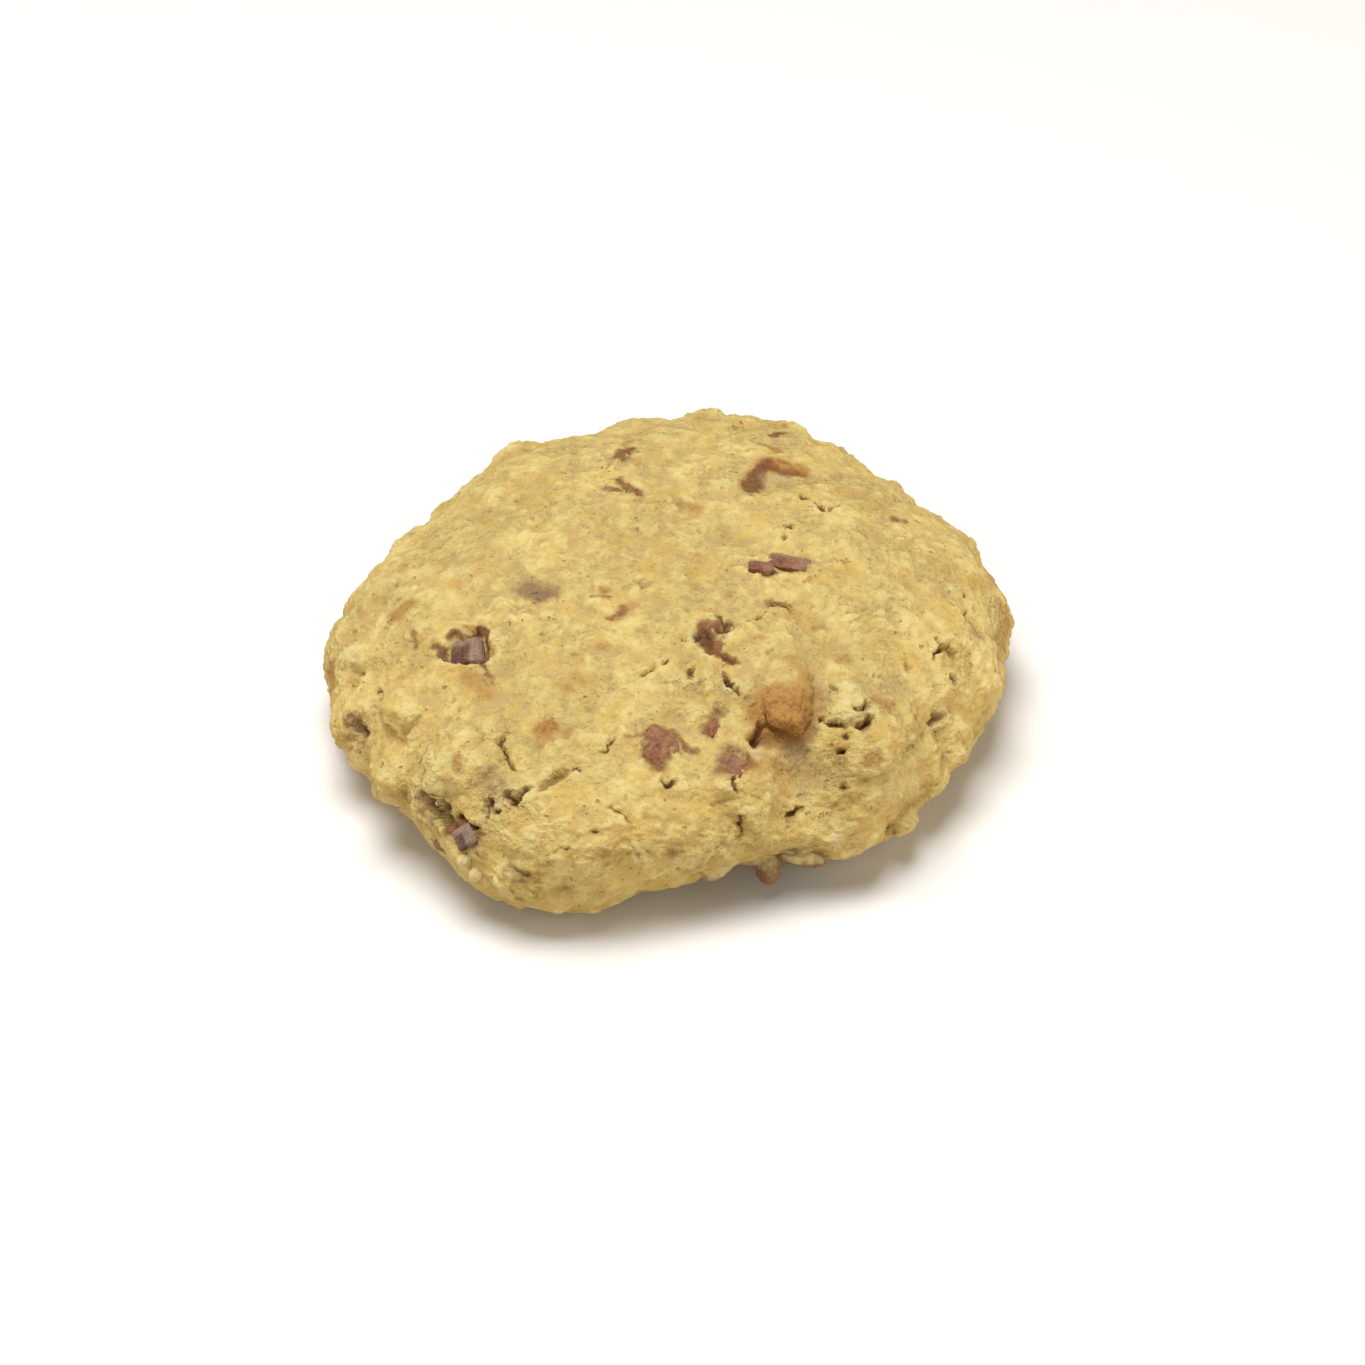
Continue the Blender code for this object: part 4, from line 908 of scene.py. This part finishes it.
def rim_radius(angle: Array) -> Array:
    """Rim radius at each angle, on a smooth closed curve through the named radii."""
    radii = np.array(RIM_RADII)
    count = len(radii)
    place = (angle % (2 * math.pi)) / (2 * math.pi) * count
    first = np.floor(place).astype(int)
    t = place - first
    a, b, c, d = (radii[(first + k) % count] for k in (-1, 0, 1, 2))
    return 0.5 * (2 * b + (c - a) * t + (2 * a - 5 * b + 4 * c - d) * t**2 + (3 * b - a - 3 * c + d) * t**3)


class Skin:
    """The surface of the dough as arrays of points and normals in millimetres."""

    def __init__(self, mesh: bpy.types.Mesh) -> None:
        self.mesh = mesh
        self.refresh()

    def _read(self, name: str) -> Array:
        """One vector of every vertex."""
        values = np.empty(len(self.mesh.vertices) * 3)
        self.mesh.vertices.foreach_get(name, values)
        return values.reshape(-1, 3)

    def refresh(self) -> None:
        """Reads points and normals again."""
        self.points = self._read("co")
        self.normals = self._read("normal")

    def place(self, points: Array) -> None:
        """Puts every vertex at its new point."""
        self.mesh.vertices.foreach_set("co", points.ravel())
        self.mesh.update()
        self.refresh()

    def move(self, offset: Array) -> None:
        """Adds an offset to every point."""
        self.place(self.points + offset)

    def nearest(self, x: float, y: float, level: float | None) -> int:
        """The vertex nearest a place in plan, on the crown or at a level of the side wall."""
        gap = (self.points[:, 0] - x) ** 2 + (self.points[:, 1] - y) ** 2
        if level is None:
            gap = gap - 0.05 * self.points[:, 2] + np.where(self.normals[:, 2] > CROWN_SLOPE, 0, FAR)
        else:
            gap = gap + (self.points[:, 2] - level) ** 2
        return int(np.argmin(gap))

    def axes(self, x: float, y: float, level: float | None, facing: float) -> tuple[Array, ...]:
        """Axes on the skin.

        Args:
            x: place in plan.
            y: place in plan.
            level: height of the place on the side wall, or None on the crown.
            facing: the way forward turns in plan, in degrees.

        Returns:
            The centre, and the forward, across and outward directions.
        """
        centre = self.points[self.nearest(x, y, level)]
        near = np.linalg.norm(self.points - centre, axis=1) < PATCH_RADIUS
        out = self.normals[near].mean(axis=0)
        out /= np.linalg.norm(out)
        turn = math.radians(facing)
        plan = np.array([math.cos(turn), math.sin(turn), 0.0])
        forward = plan - out * (plan @ out)
        if np.linalg.norm(forward) < 0.2:
            forward = np.array([0, 0, -1.0]) + out * out[2]
        forward /= np.linalg.norm(forward)
        return centre, forward, np.cross(out, forward), out

    def line(self, points: Iterable[Point], level: float | None) -> Array:
        """Lays plan points on the skin, with small zigzags between them."""
        laid = [self.points[self.nearest(x, y, level)] for x, y in points]
        line = []
        for start, end in zip(laid[:-1], laid[1:]):
            for t in np.linspace(0, 1, ZIGZAG_STEPS, endpoint=False):
                spot = start + (end - start) * t
                line.append(spot + np.array(noise.noise_vector(Vector(spot) / ZIGZAG_SIZE)) * ZIGZAG)
        return np.array([*line, laid[-1]])

    def track(self, line: Array, reach: float) -> tuple[Array, Array, Array, Array, Array]:
        """How the skin lies to a line on it, with a ragged edge and the height off the line left out.

        Args:
            line: points of the line.
            reach: how far off the line counts.

        Returns:
            The vertices within reach, their distances, the sides they lie on, their shares along, and
            the way out of the skin there.
        """
        middle = (line.min(axis=0) + line.max(axis=0)) / 2
        radius = np.linalg.norm(line - middle, axis=1).max() + reach
        chosen = np.nonzero(np.linalg.norm(self.points - middle, axis=1) < radius)[0]
        points, out = self.points[chosen], self.normals[chosen].mean(axis=0)
        out /= np.linalg.norm(out)
        best = np.full(len(chosen), np.inf)
        side, along = np.zeros(len(chosen)), np.zeros(len(chosen))
        for k, (start, end) in enumerate(zip(line[:-1], line[1:])):
            step = end - start
            t = np.clip((points - start) @ step / max(step @ step, 1e-9), 0, 1)
            away = points - start - t[:, None] * step
            gap = np.linalg.norm(away - LEFT_OUT * np.outer(away @ out, out), axis=1)
            closer = gap < best
            turned = np.cross(np.broadcast_to(step, away.shape), away)
            best = np.where(closer, gap, best)
            side = np.where(closer, np.sign(turned @ out), side)
            along = np.where(closer, (k + t) / (len(line) - 1), along)
        flat = points - middle - np.outer((points - middle) @ out, out)
        stray = np.array([noise.noise(Vector(spot) * EDGE_SCALE) for spot in flat + middle])
        return chosen, np.maximum(best + stray * EDGE_STRAY, 0), side, along, out

    def blurred(self, values: Array, rounds: int) -> Array:
        """Averages values with their neighbours' along the mesh's edges.

        Args:
            values: one row for each vertex.
            rounds: how many times to average.

        Returns:
            The smoothed rows.
        """
        edges = np.empty(len(self.mesh.edges) * 2, dtype=np.int64)
        self.mesh.edges.foreach_get("vertices", edges)
        first, second = edges.reshape(-1, 2).T
        count = len(self.mesh.vertices)
        degree = np.bincount(first, minlength=count) + np.bincount(second, minlength=count)
        for _ in range(rounds):
            total = np.zeros_like(values)
            for k in range(values.shape[1]):
                total[:, k] = np.bincount(first, values[second, k], count)
                total[:, k] += np.bincount(second, values[first, k], count)
            values = 0.5 * values + 0.5 * total / degree[:, None]
        return values


@dataclass
class Dough:
    """The baked dough: form, clumps, cracks, crags and grain, with masks for its colours and for its
    painted light and shade.
    """

    crown_height: float = 20.5
    edge_level: float = 7.5
    foot_share: float = 0.82
    crown_power: float = 3.2
    shoulder_power: float = 2.2
    foot_weight: float = 0.15
    tear: float = 0.5
    window_power: float = 2.6
    torn_lip: float = 0.25
    torn_lip_at: float = 1.45
    torn_lip_width: float = 0.22
    clot: float = 4.6
    small_clot: float = 2.1
    torn: float = 2.8
    broad: float = 7.5
    grain: float = 1.25
    ledge_spacing: float = 5.2
    ledge_share: float = 0.84
    pit_spacing: float = 3.1
    subdivisions: int = 8
    triangles: int = 190_000
    profile_steps: int = 400
    finish: DoughFinish = field(default_factory=DoughFinish)
    skin: Skin = field(init=False)
    splits: list[tuple[Crack, Array]] = field(init=False)

    def build(self) -> bpy.types.Object:
        """Builds the dough.

        Returns:
            The dressed object, in millimetres.
        """
        mesh = self._ball()
        skin = Skin(mesh)
        skin.place(self._folded(skin.points))
        for shape in (self._swells, self._lumps, self._windows, self._crags):
            skin.move(shape(skin) * self._off_foot(skin))
        skin.move(self._lifts(skin))
        skin.move(self._grain(skin) * self._off_foot(skin))
        self.splits = [(crack, skin.line(crack.points, crack.level)) for crack in CRACKS]
        skin.move(self._cracks(skin) * self._off_foot(skin))
        flat = skin.points.copy()
        flat[:, 2] = np.maximum(flat[:, 2], 0)
        skin.place(flat)
        dough = bpy.data.objects.new("dough", mesh)
        bpy.context.scene.collection.objects.link(dough)
        self._thin(dough)
        self.skin = Skin(dough.data)
        self._paint(self.skin)
        dough.data.materials.append(self.finish.material())
        dough.data.shade_smooth()
        return dough

    def _ball(self) -> bpy.types.Mesh:
        """A finely divided unit ball."""
        bm = bmesh.new()
        bmesh.ops.create_icosphere(bm, subdivisions=self.subdivisions, radius=1.0)
        mesh = bpy.data.meshes.new("dough")
        bm.to_mesh(mesh)
        bm.free()
        return mesh

    def _profile(self) -> tuple[Array, Array]:
        """The half section from the crown to the foot, as share of radius and height."""
        turn = np.linspace(0, math.pi / 2, self.profile_steps)
        crown = np.sin(turn) ** (2 / self.crown_power)
        rise = (self.crown_height - self.edge_level) * np.cos(turn) ** (2 / self.shoulder_power)
        under = self.foot_share + (1 - self.foot_share) * np.cos(turn)
        drop = self.edge_level * (1 - np.sin(turn))
        foot = np.linspace(self.foot_share, 0, self.profile_steps)
        share = np.concatenate([crown, under[1:], foot[1:]])
        level = np.concatenate([self.edge_level + rise, drop[1:], np.zeros(self.profile_steps - 1)])
        return share, level

    def _folded(self, ball: Array) -> Array:
        """Moves each point of a unit ball to the cookie, with the foot given few points."""
        share, level = self._profile()
        radius = share * np.mean(RIM_RADII)
        strip = np.hypot(np.diff(radius), np.diff(level)) * (radius[1:] + radius[:-1]) / 2
        strip *= np.where(level[1:] < 0.05, self.foot_weight, 1.0)
        covered = np.concatenate([[0], np.cumsum(strip)])
        covered /= covered[-1]
        above = (1 - ball[:, 2]) / 2
        angle = np.arctan2(ball[:, 1], ball[:, 0])
        out = rim_radius(angle) * np.interp(above, covered, share)
        height = np.interp(above, covered, level)
        return np.stack([out * np.cos(angle), out * np.sin(angle), height], axis=1)

    def _off_foot(self, skin: Skin) -> Array:
        """0 on the foot and 1 above the lower edge."""
        return smooth_step(0.0, FOOT_FADE, skin.points[:, 2])[:, None]

    def _swells(self, skin: Skin) -> Array:
        """Broad rises and dips of the crust."""
        rise = np.zeros(len(skin.points))
        for swell in SWELLS:
            gap = np.hypot(skin.points[:, 0] - swell.x, skin.points[:, 1] - swell.y)
            rise += swell.height * np.exp(-((gap / swell.reach) ** 2))
        return skin.normals * (rise * smooth_step(0.0, 0.5, skin.normals[:, 2]))[:, None]

    def _lumps(self, skin: Skin) -> Array:
        """Clumps that rise out of the skin and lean over their steep side."""
        offset = np.zeros_like(skin.points)
        for lump in LUMPS:
            centre, forward, across, out = skin.axes(lump.x, lump.y, lump.level, lump.facing)
            local = skin.points - centre
            ahead = local @ forward
            reach = np.where(ahead > 0, lump.steep, lump.gentle)
            aside = local @ across / lump.half_width
            inside = np.abs(ahead / reach) ** lump.corner + np.abs(aside) ** lump.corner
            inside += (local @ out / (2 * lump.half_width)) ** 2
            behind = smooth_step(0.0, 0.8, -ahead / lump.gentle)
            power = lump.roundness + np.maximum(1.3 - lump.roundness, 0) * behind
            strength = np.clip(1 - inside, 0, 1) ** power
            offset += strength[:, None] * (out * lump.height + forward * lump.overhang)
        return offset

    def _windows(self, skin: Skin) -> Array:
        """Torn openings round the chunks."""
        depth = np.zeros(len(skin.points))
        for window in WINDOWS:
            inside = self._ellipse(skin, window)
            depth += window.depth * smooth_step(1.25, 0.75, inside)
            depth -= self.torn_lip * np.exp(-(((inside - self.torn_lip_at) / self.torn_lip_width) ** 2))
        return -skin.normals * depth[:, None]

    def _ellipse(self, skin: Skin, spot: Window) -> Array:
        """Distance from an opening's centre as a share of its half sizes, with a ragged edge.

        Args:
            skin: the dough's skin.
            spot: the opening.

        Returns:
            One share for each vertex, which is 1 on the edge.
        """
        centre, forward, across, out = skin.axes(spot.x, spot.y, spot.level, spot.turn)
        local = skin.points - centre
        share = np.full(len(local), FAR)
        near = np.linalg.norm(local, axis=1) < 1.6 * max(spot.length, spot.breadth)
        stray = np.array([noise.noise_vector(Vector(p) / 1.1) for p in skin.points[near]]) * self.tear
        close = local[near] + stray.reshape(-1, 3)
        along = close @ forward / (spot.length / 2)
        aside = close @ across / (spot.breadth / 2)
        power = self.window_power
        share[near] = (np.abs(along) ** power + np.abs(aside) ** power) ** (1 / power)
        return share

    def _cracks(self, skin: Skin) -> Array:
        """Grooves along the cracks, with one side of each standing proud."""
        offset = np.zeros_like(skin.points)
        for crack, line in self.splits:
            near, gap, side, along, out = skin.track(line, LIP_REACH)
            ends = self._fade(along)
            groove = np.exp(-((gap / self._spread(crack, line, along)) ** 4)) * ends
            lip = np.exp(-gap / LIP_FADE) * ends * np.where(side > 0, max(crack.lip, 0), max(-crack.lip, 0))
            offset[near] += np.outer(lip * (1 - groove) - crack.depth * groove, out)
        return offset

    def _fade(self, along: Array) -> Array:
        """How open a crack is at each share of its length: 0 at its ends and 1 in the middle."""
        return np.sqrt(np.clip(np.sin(math.pi * along), 0, 1))

    def _spread(self, crack: Crack, line: Array, along: Array) -> Array:
        """The half width of a crack at each share of its length, which comes and goes."""
        steps = [0.85 + 0.55 * noise.noise(Vector(point) * 1.1) for point in line]
        return crack.width * np.interp(along, np.linspace(0, 1, len(steps)), steps)

    def _crags(self, skin: Skin) -> Array:
        """Lumpy dough: rounded clots with creases between, bolder on the broken flanks."""
        flank = 1 - smooth_step(0.55, 0.95, skin.normals[:, 2])
        height = np.empty(len(skin.points))
        for k, point in enumerate(skin.points):
            spot = Vector(point)
            warp = noise.noise_vector(spot / 5.0) * 0.45
            clot = noise.voronoi(spot / self.clot + warp)[0][0]
            small = noise.voronoi(spot / self.small_clot + warp)[0][0]
            torn = noise.turbulence(spot / self.torn, 4, True, amplitude_scale=0.62, frequency_scale=2.1)
            height[k] = noise.noise(spot / self.broad) * 0.8 - clot**2 * 1.2 - small**2 * 0.4 + torn * 0.55
        return skin.normals * ((height - height.mean()) * (0.62 + 0.38 * flank))[:, None]

    def _lifts(self, skin: Skin) -> Array:
        """Stretches of the lower edge that curl up off the tray and tuck in."""
        x, y, z = skin.points.T
        angle = np.degrees(np.arctan2(y, x))
        plan = np.stack([x, y, np.zeros_like(x)], axis=1)
        reach = np.linalg.norm(plan, axis=1)
        edge = smooth_step(0.55, 0.92, reach / rim_radius(np.radians(angle)))
        low = 1 - smooth_step(0.0, 1.5 * self.edge_level, z)
        offset = np.zeros_like(skin.points)
        for lift in LIFTS:
            away = (angle - lift.angle + 180) % 360 - 180
            strength = np.exp(-((away / lift.spread) ** 2)) * edge * low
            inward = -plan / np.maximum(reach, 1)[:, None] * lift.tuck
            offset += strength[:, None] * (inward + np.array([0, 0, lift.rise]))
        return offset

    def _grain(self, skin: Skin) -> Array:
        """Torn ledges, small grains and pits, all finer than the crags."""
        height = np.empty(len(skin.points))
        full = self.ledge_share
        for k, point in enumerate(skin.points):
            spot = Vector(point)
            warp = noise.noise_vector(spot / 2.2) * 0.35
            grain = noise.voronoi(spot / self.grain + warp)[0][0]
            bold = noise.noise(spot / 6.0 + Vector((7, 0, 0)))
            tear = noise.noise(spot / self.ledge_spacing + warp * 0.4) * 3.2
            ledge = tear - math.floor(tear)
            ledge = min(ledge, (1 - ledge) * 0.16 / full) / 0.16 if ledge > full else ledge / full
            distances, centres = noise.voronoi(spot / self.pit_spacing)[0:2]
            chosen = noise.noise(centres[0] * 3.7)
            radius = 0.3 + 0.4 * abs(chosen)
            pit = max(0.0, 1 - distances[0] * self.pit_spacing / radius) if chosen > 0.26 else 0.0
            height[k] = (0.5 - grain) * 0.22 * (0.8 + bold) + ledge * max(0.0, bold + 0.1) * 0.5
            height[k] -= min(1.0, pit * 2) * 0.45
        return skin.normals * (height - height.mean())[:, None]

    def _thin(self, dough: bpy.types.Object) -> None:
        """Thins the mesh where it is smooth and makes the result its own mesh."""
        decimate = dough.modifiers.new("thin", "DECIMATE")
        decimate.ratio = self.triangles / len(dough.data.polygons)
        graph = bpy.context.evaluated_depsgraph_get()
        baked = bpy.data.meshes.new_from_object(dough.evaluated_get(graph))
        dough.modifiers.clear()
        dough.data = baked

    def _paint(self, skin: Skin) -> None:
        """Stores the masks that the dough's finish reads: relief and flank for painted light and shade,
        split and gap for the shade painted in the cracks, and the tints.
        """
        # The relief mask, the height over the averaged skin, places painted highlights on bumps and painted
        # shade in hollows.
        flat = skin.blurred(skin.points, RELIEF_ROUNDS)
        painted_light_relief = np.sum((skin.points - flat) * skin.normals, axis=1)
        self._store("painted_light_relief", np.clip(0.5 + painted_light_relief * RELIEF_GAIN, 0, 1))
        # The flank mask marks steep skin, which the finish lifts with painted light.
        self._store("flank", smooth_step(0.95, 0.35, skin.normals[:, 2]))
        # The split and gap masks place the shade painted inside the cracks.
        split = np.full(len(skin.points), 5.0)
        gap = np.zeros(len(skin.points))
        for crack, line in self.splits:
            near, away, side, along, _ = skin.track(line, SPLIT_REACH)
            share = away / self._spread(crack, line, along)
            closer = share < np.abs(split[near])
            split[near] = np.where(closer, share * side, split[near])
            ends = self._fade(along) * crack.shade_strength
            ends *= smooth_step(3.5, 1.6, share)
            gap[near] = np.where(closer, ends, gap[near])
        self._store("split", split)
        self._store("gap", gap)
        for tint, strokes in STROKES.items():
            mask = np.zeros(len(skin.points))
            for stroke in strokes:
                line = skin.line(stroke.points, stroke.level)
                near, away, _, _, _ = skin.track(line, MARK_REACH * stroke.width)
                tent = np.clip(MARK_CORE - MARK_FALL * away / stroke.width, 0, 1) * stroke.strength
                mask[near] = np.maximum(mask[near], tent)
            self._store(tint.value, mask)

    def _store(self, name: str, values: Array) -> None:
        """Stores one number for each vertex under a name."""
        layer = self.skin.mesh.attributes.new(name, "FLOAT", "POINT")
        layer.data.foreach_set("value", values.astype(np.float32))


# ---- The pieces set in the dough ----


@dataclass
class Inclusions:
    """Nut chunks, nut skins and loose crumbs, seated on the dough's skin."""

    skin: Skin
    worn_edge: float = 0.14
    cuts: int = 5
    block_stray: float = 0.1
    crumb_stray: float = 0.13
    nugget_stray: float = 0.24

    def build(self, kind: Nut, material: bpy.types.Material) -> bpy.types.Object:
        """Builds every piece of one kind as one object.

        Args:
            kind: which pieces.
            material: their finish.

        Returns:
            The dressed object, in millimetres.
        """
        shape = self._crumb if kind in (Nut.CRUMB, Nut.NUGGET) else self._block
        mesh = bpy.data.meshes.new(kind.value)
        together = bmesh.new()
        for piece in PIECES:
            if piece.kind is kind:
                single = shape(piece)
                single.to_mesh(mesh)
                single.free()
                together.from_mesh(mesh)
        bmesh.ops.recalc_face_normals(together, faces=together.faces[:])
        together.to_mesh(mesh)
        together.free()
        made = bpy.data.objects.new(kind.value, mesh)
        bpy.context.scene.collection.objects.link(made)
        mesh.materials.append(material)
        mesh.shade_smooth()
        return made

    def _seat(self, piece: Piece) -> Matrix:
        """Where a piece sits: its top clears the skin by proud and its faces follow the skin."""
        centre, forward, across, out = self.skin.axes(piece.x, piece.y, piece.level, piece.turn)
        middle = centre + out * (piece.proud - piece.thickness / 2)
        axes = Matrix((forward, across, out)).transposed()
        return Matrix.Translation(middle) @ axes.to_4x4()

    def _block(self, piece: Piece) -> bmesh.types.BMesh:
        """A broken block with worn edges."""
        bm = bmesh.new()
        bmesh.ops.create_cube(bm, size=1.0)
        bmesh.ops.bevel(
            bm,
            geom=bm.edges[:],
            offset=self.worn_edge,
            segments=2,
            profile=0.5,
            affect="EDGES",
            material=-1,
        )
        bmesh.ops.subdivide_edges(bm, edges=bm.edges[:], cuts=self.cuts, use_grid_fill=True)
        self._wear(bm, piece, self.block_stray)
        return bm

    def _crumb(self, piece: Piece) -> bmesh.types.BMesh:
        """A rounded crumb."""
        bm = bmesh.new()
        bmesh.ops.create_icosphere(bm, subdivisions=4, radius=0.5)
        self._wear(bm, piece, self.crumb_stray if piece.kind is Nut.CRUMB else self.nugget_stray)
        return bm

    def _wear(self, bm: bmesh.types.BMesh, piece: Piece, stray: float) -> None:
        """Roughens a piece, gives it its size and seats it.

        Args:
            bm: the piece as a unit shape.
            piece: its sizes and place.
            stray: how far the form strays, as a share of its size.
        """
        size = Vector((piece.length, piece.breadth, piece.thickness))
        seed = Vector((piece.x, piece.y, 0))
        bloom = bm.verts.layers.float.new("bloom")
        for vert in bm.verts:
            bent = vert.co + noise.noise_vector(vert.co * 1.6 + seed) * stray
            fine = noise.noise_vector(vert.co * 7 + seed) * stray * 0.35
            vert[bloom] = float(vert.co.x > 0.06 or vert.co.y > 0.18)
            vert.co = (bent + fine) * size
        bmesh.ops.transform(bm, matrix=self._seat(piece), verts=bm.verts[:])


# ---- Studio ----


WARM = (1.0, 0.93, 0.82)


@dataclass(frozen=True)
class Lamp:
    """A soft square light aimed at the cookie."""

    name: str
    power: float
    size: float
    place: tuple[float, float, float]
    tint: Colour = (1.0, 1.0, 1.0)


@dataclass
class Studio:
    """Pale sweep, soft light and the camera."""

    elevation: float = 39.0
    distance: float = 430.0
    lens: float = 100.0
    sensor: float = 36.0
    near_clip: float = 0.01
    floor_half: float = 3.0
    target: tuple[float, float, float] = (1.35, -7.27, 9.0)
    sky: float = 0.06
    lamps: tuple[Lamp, ...] = (
        Lamp("key", 5.65, 0.42, (-0.08, 0.035, 0.62)),
        Lamp("front", 1.45, 0.4, (0.05, -0.60, 0.12), WARM),
        Lamp("left", 1.5, 0.4, (-0.60, -0.05, 0.14), WARM),
        Lamp("right", 2.3, 0.4, (0.60, -0.05, 0.14), WARM),
    )
    finish: FloorFinish = field(default_factory=FloorFinish)

    def build(self) -> None:
        """Sets up the floor, the lights and the camera."""
        self._floor()
        self._light()
        self._camera()

    def _floor(self) -> None:
        """A wide flat floor at the cookie's foot."""
        bm = bmesh.new()
        bmesh.ops.create_grid(bm, x_segments=1, y_segments=1, size=self.floor_half)
        mesh = bpy.data.meshes.new("sweep")
        bm.to_mesh(mesh)
        bm.free()
        mesh.materials.append(self.finish.material())
        floor = bpy.data.objects.new("sweep", mesh)
        bpy.context.scene.collection.objects.link(floor)

    def _light(self) -> None:
        """Dim surroundings, a large soft light overhead and weaker low ones in front and at the sides."""
        world = bpy.data.worlds.new("surround")
        world.use_nodes = True
        sky = world.node_tree.nodes["Background"]
        sky.inputs["Color"].default_value = (1.0, 1.0, 1.0, 1.0)
        sky.inputs["Strength"].default_value = self.sky
        bpy.context.scene.world = world
        bpy.context.scene.view_settings.view_transform = "Standard"
        for lamp in self.lamps:
            light = bpy.data.lights.new(lamp.name, "AREA")
            light.energy = lamp.power
            light.size = lamp.size
            light.color = lamp.tint
            made = bpy.data.objects.new(lamp.name, light)
            made.location = lamp.place
            made.rotation_euler = (-Vector(lamp.place)).to_track_quat("-Z", "Y").to_euler()
            bpy.context.scene.collection.objects.link(made)

    def _camera(self) -> None:
        """A long lens that looks down on the crust from the front."""
        tilt = math.radians(self.elevation)
        back = Vector((0, -math.cos(tilt), math.sin(tilt)))
        lens = bpy.data.cameras.new("camera")
        lens.lens = self.lens
        lens.sensor_width = self.sensor
        lens.clip_start = self.near_clip
        camera = bpy.data.objects.new("camera", lens)
        camera.location = (Vector(self.target) + back * self.distance) * MM
        camera.rotation_euler = (math.pi / 2 - tilt, 0, 0)
        bpy.context.scene.collection.objects.link(camera)
        bpy.context.scene.camera = camera


# ---- Assembly ----


def centre_in_plan(pieces: Iterable[bpy.types.Object], leader: bpy.types.Object) -> None:
    """Brings the middle of the leader's outline to the origin, and turns millimetres to metres.

    Args:
        pieces: every object of the cookie.
        leader: the one whose outline counts.
    """
    corners = [Vector(corner) for corner in leader.bound_box]
    middle = sum(corners, Vector()) / len(corners)
    shift = Matrix.Scale(MM, 4) @ Matrix.Translation((-middle.x, -middle.y, 0))
    for piece in pieces:
        piece.data.transform(shift)
        piece.data.update()


def main() -> None:
    """Builds and dresses the cookie, then the studio."""
    logging.basicConfig(level=logging.INFO, format="%(message)s")
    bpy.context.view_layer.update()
    noise.seed_set(NOISE_SEED)
    dough = Dough()
    base = dough.build()
    LOG.info("%s: %d triangles", base.name, len(base.data.polygons))
    inclusions = Inclusions(dough.skin)
    pieces = [base]
    for kind, finish in PIECE_FINISHES.items():
        made = inclusions.build(kind, finish.material())
        LOG.info("%s: %d faces", made.name, len(made.data.polygons))
        pieces.append(made)
    centre_in_plan(pieces, base)
    for piece in pieces:
        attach(piece, "root")
    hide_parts("cookie")
    Studio().build()


if __name__ == "__main__":
    main()
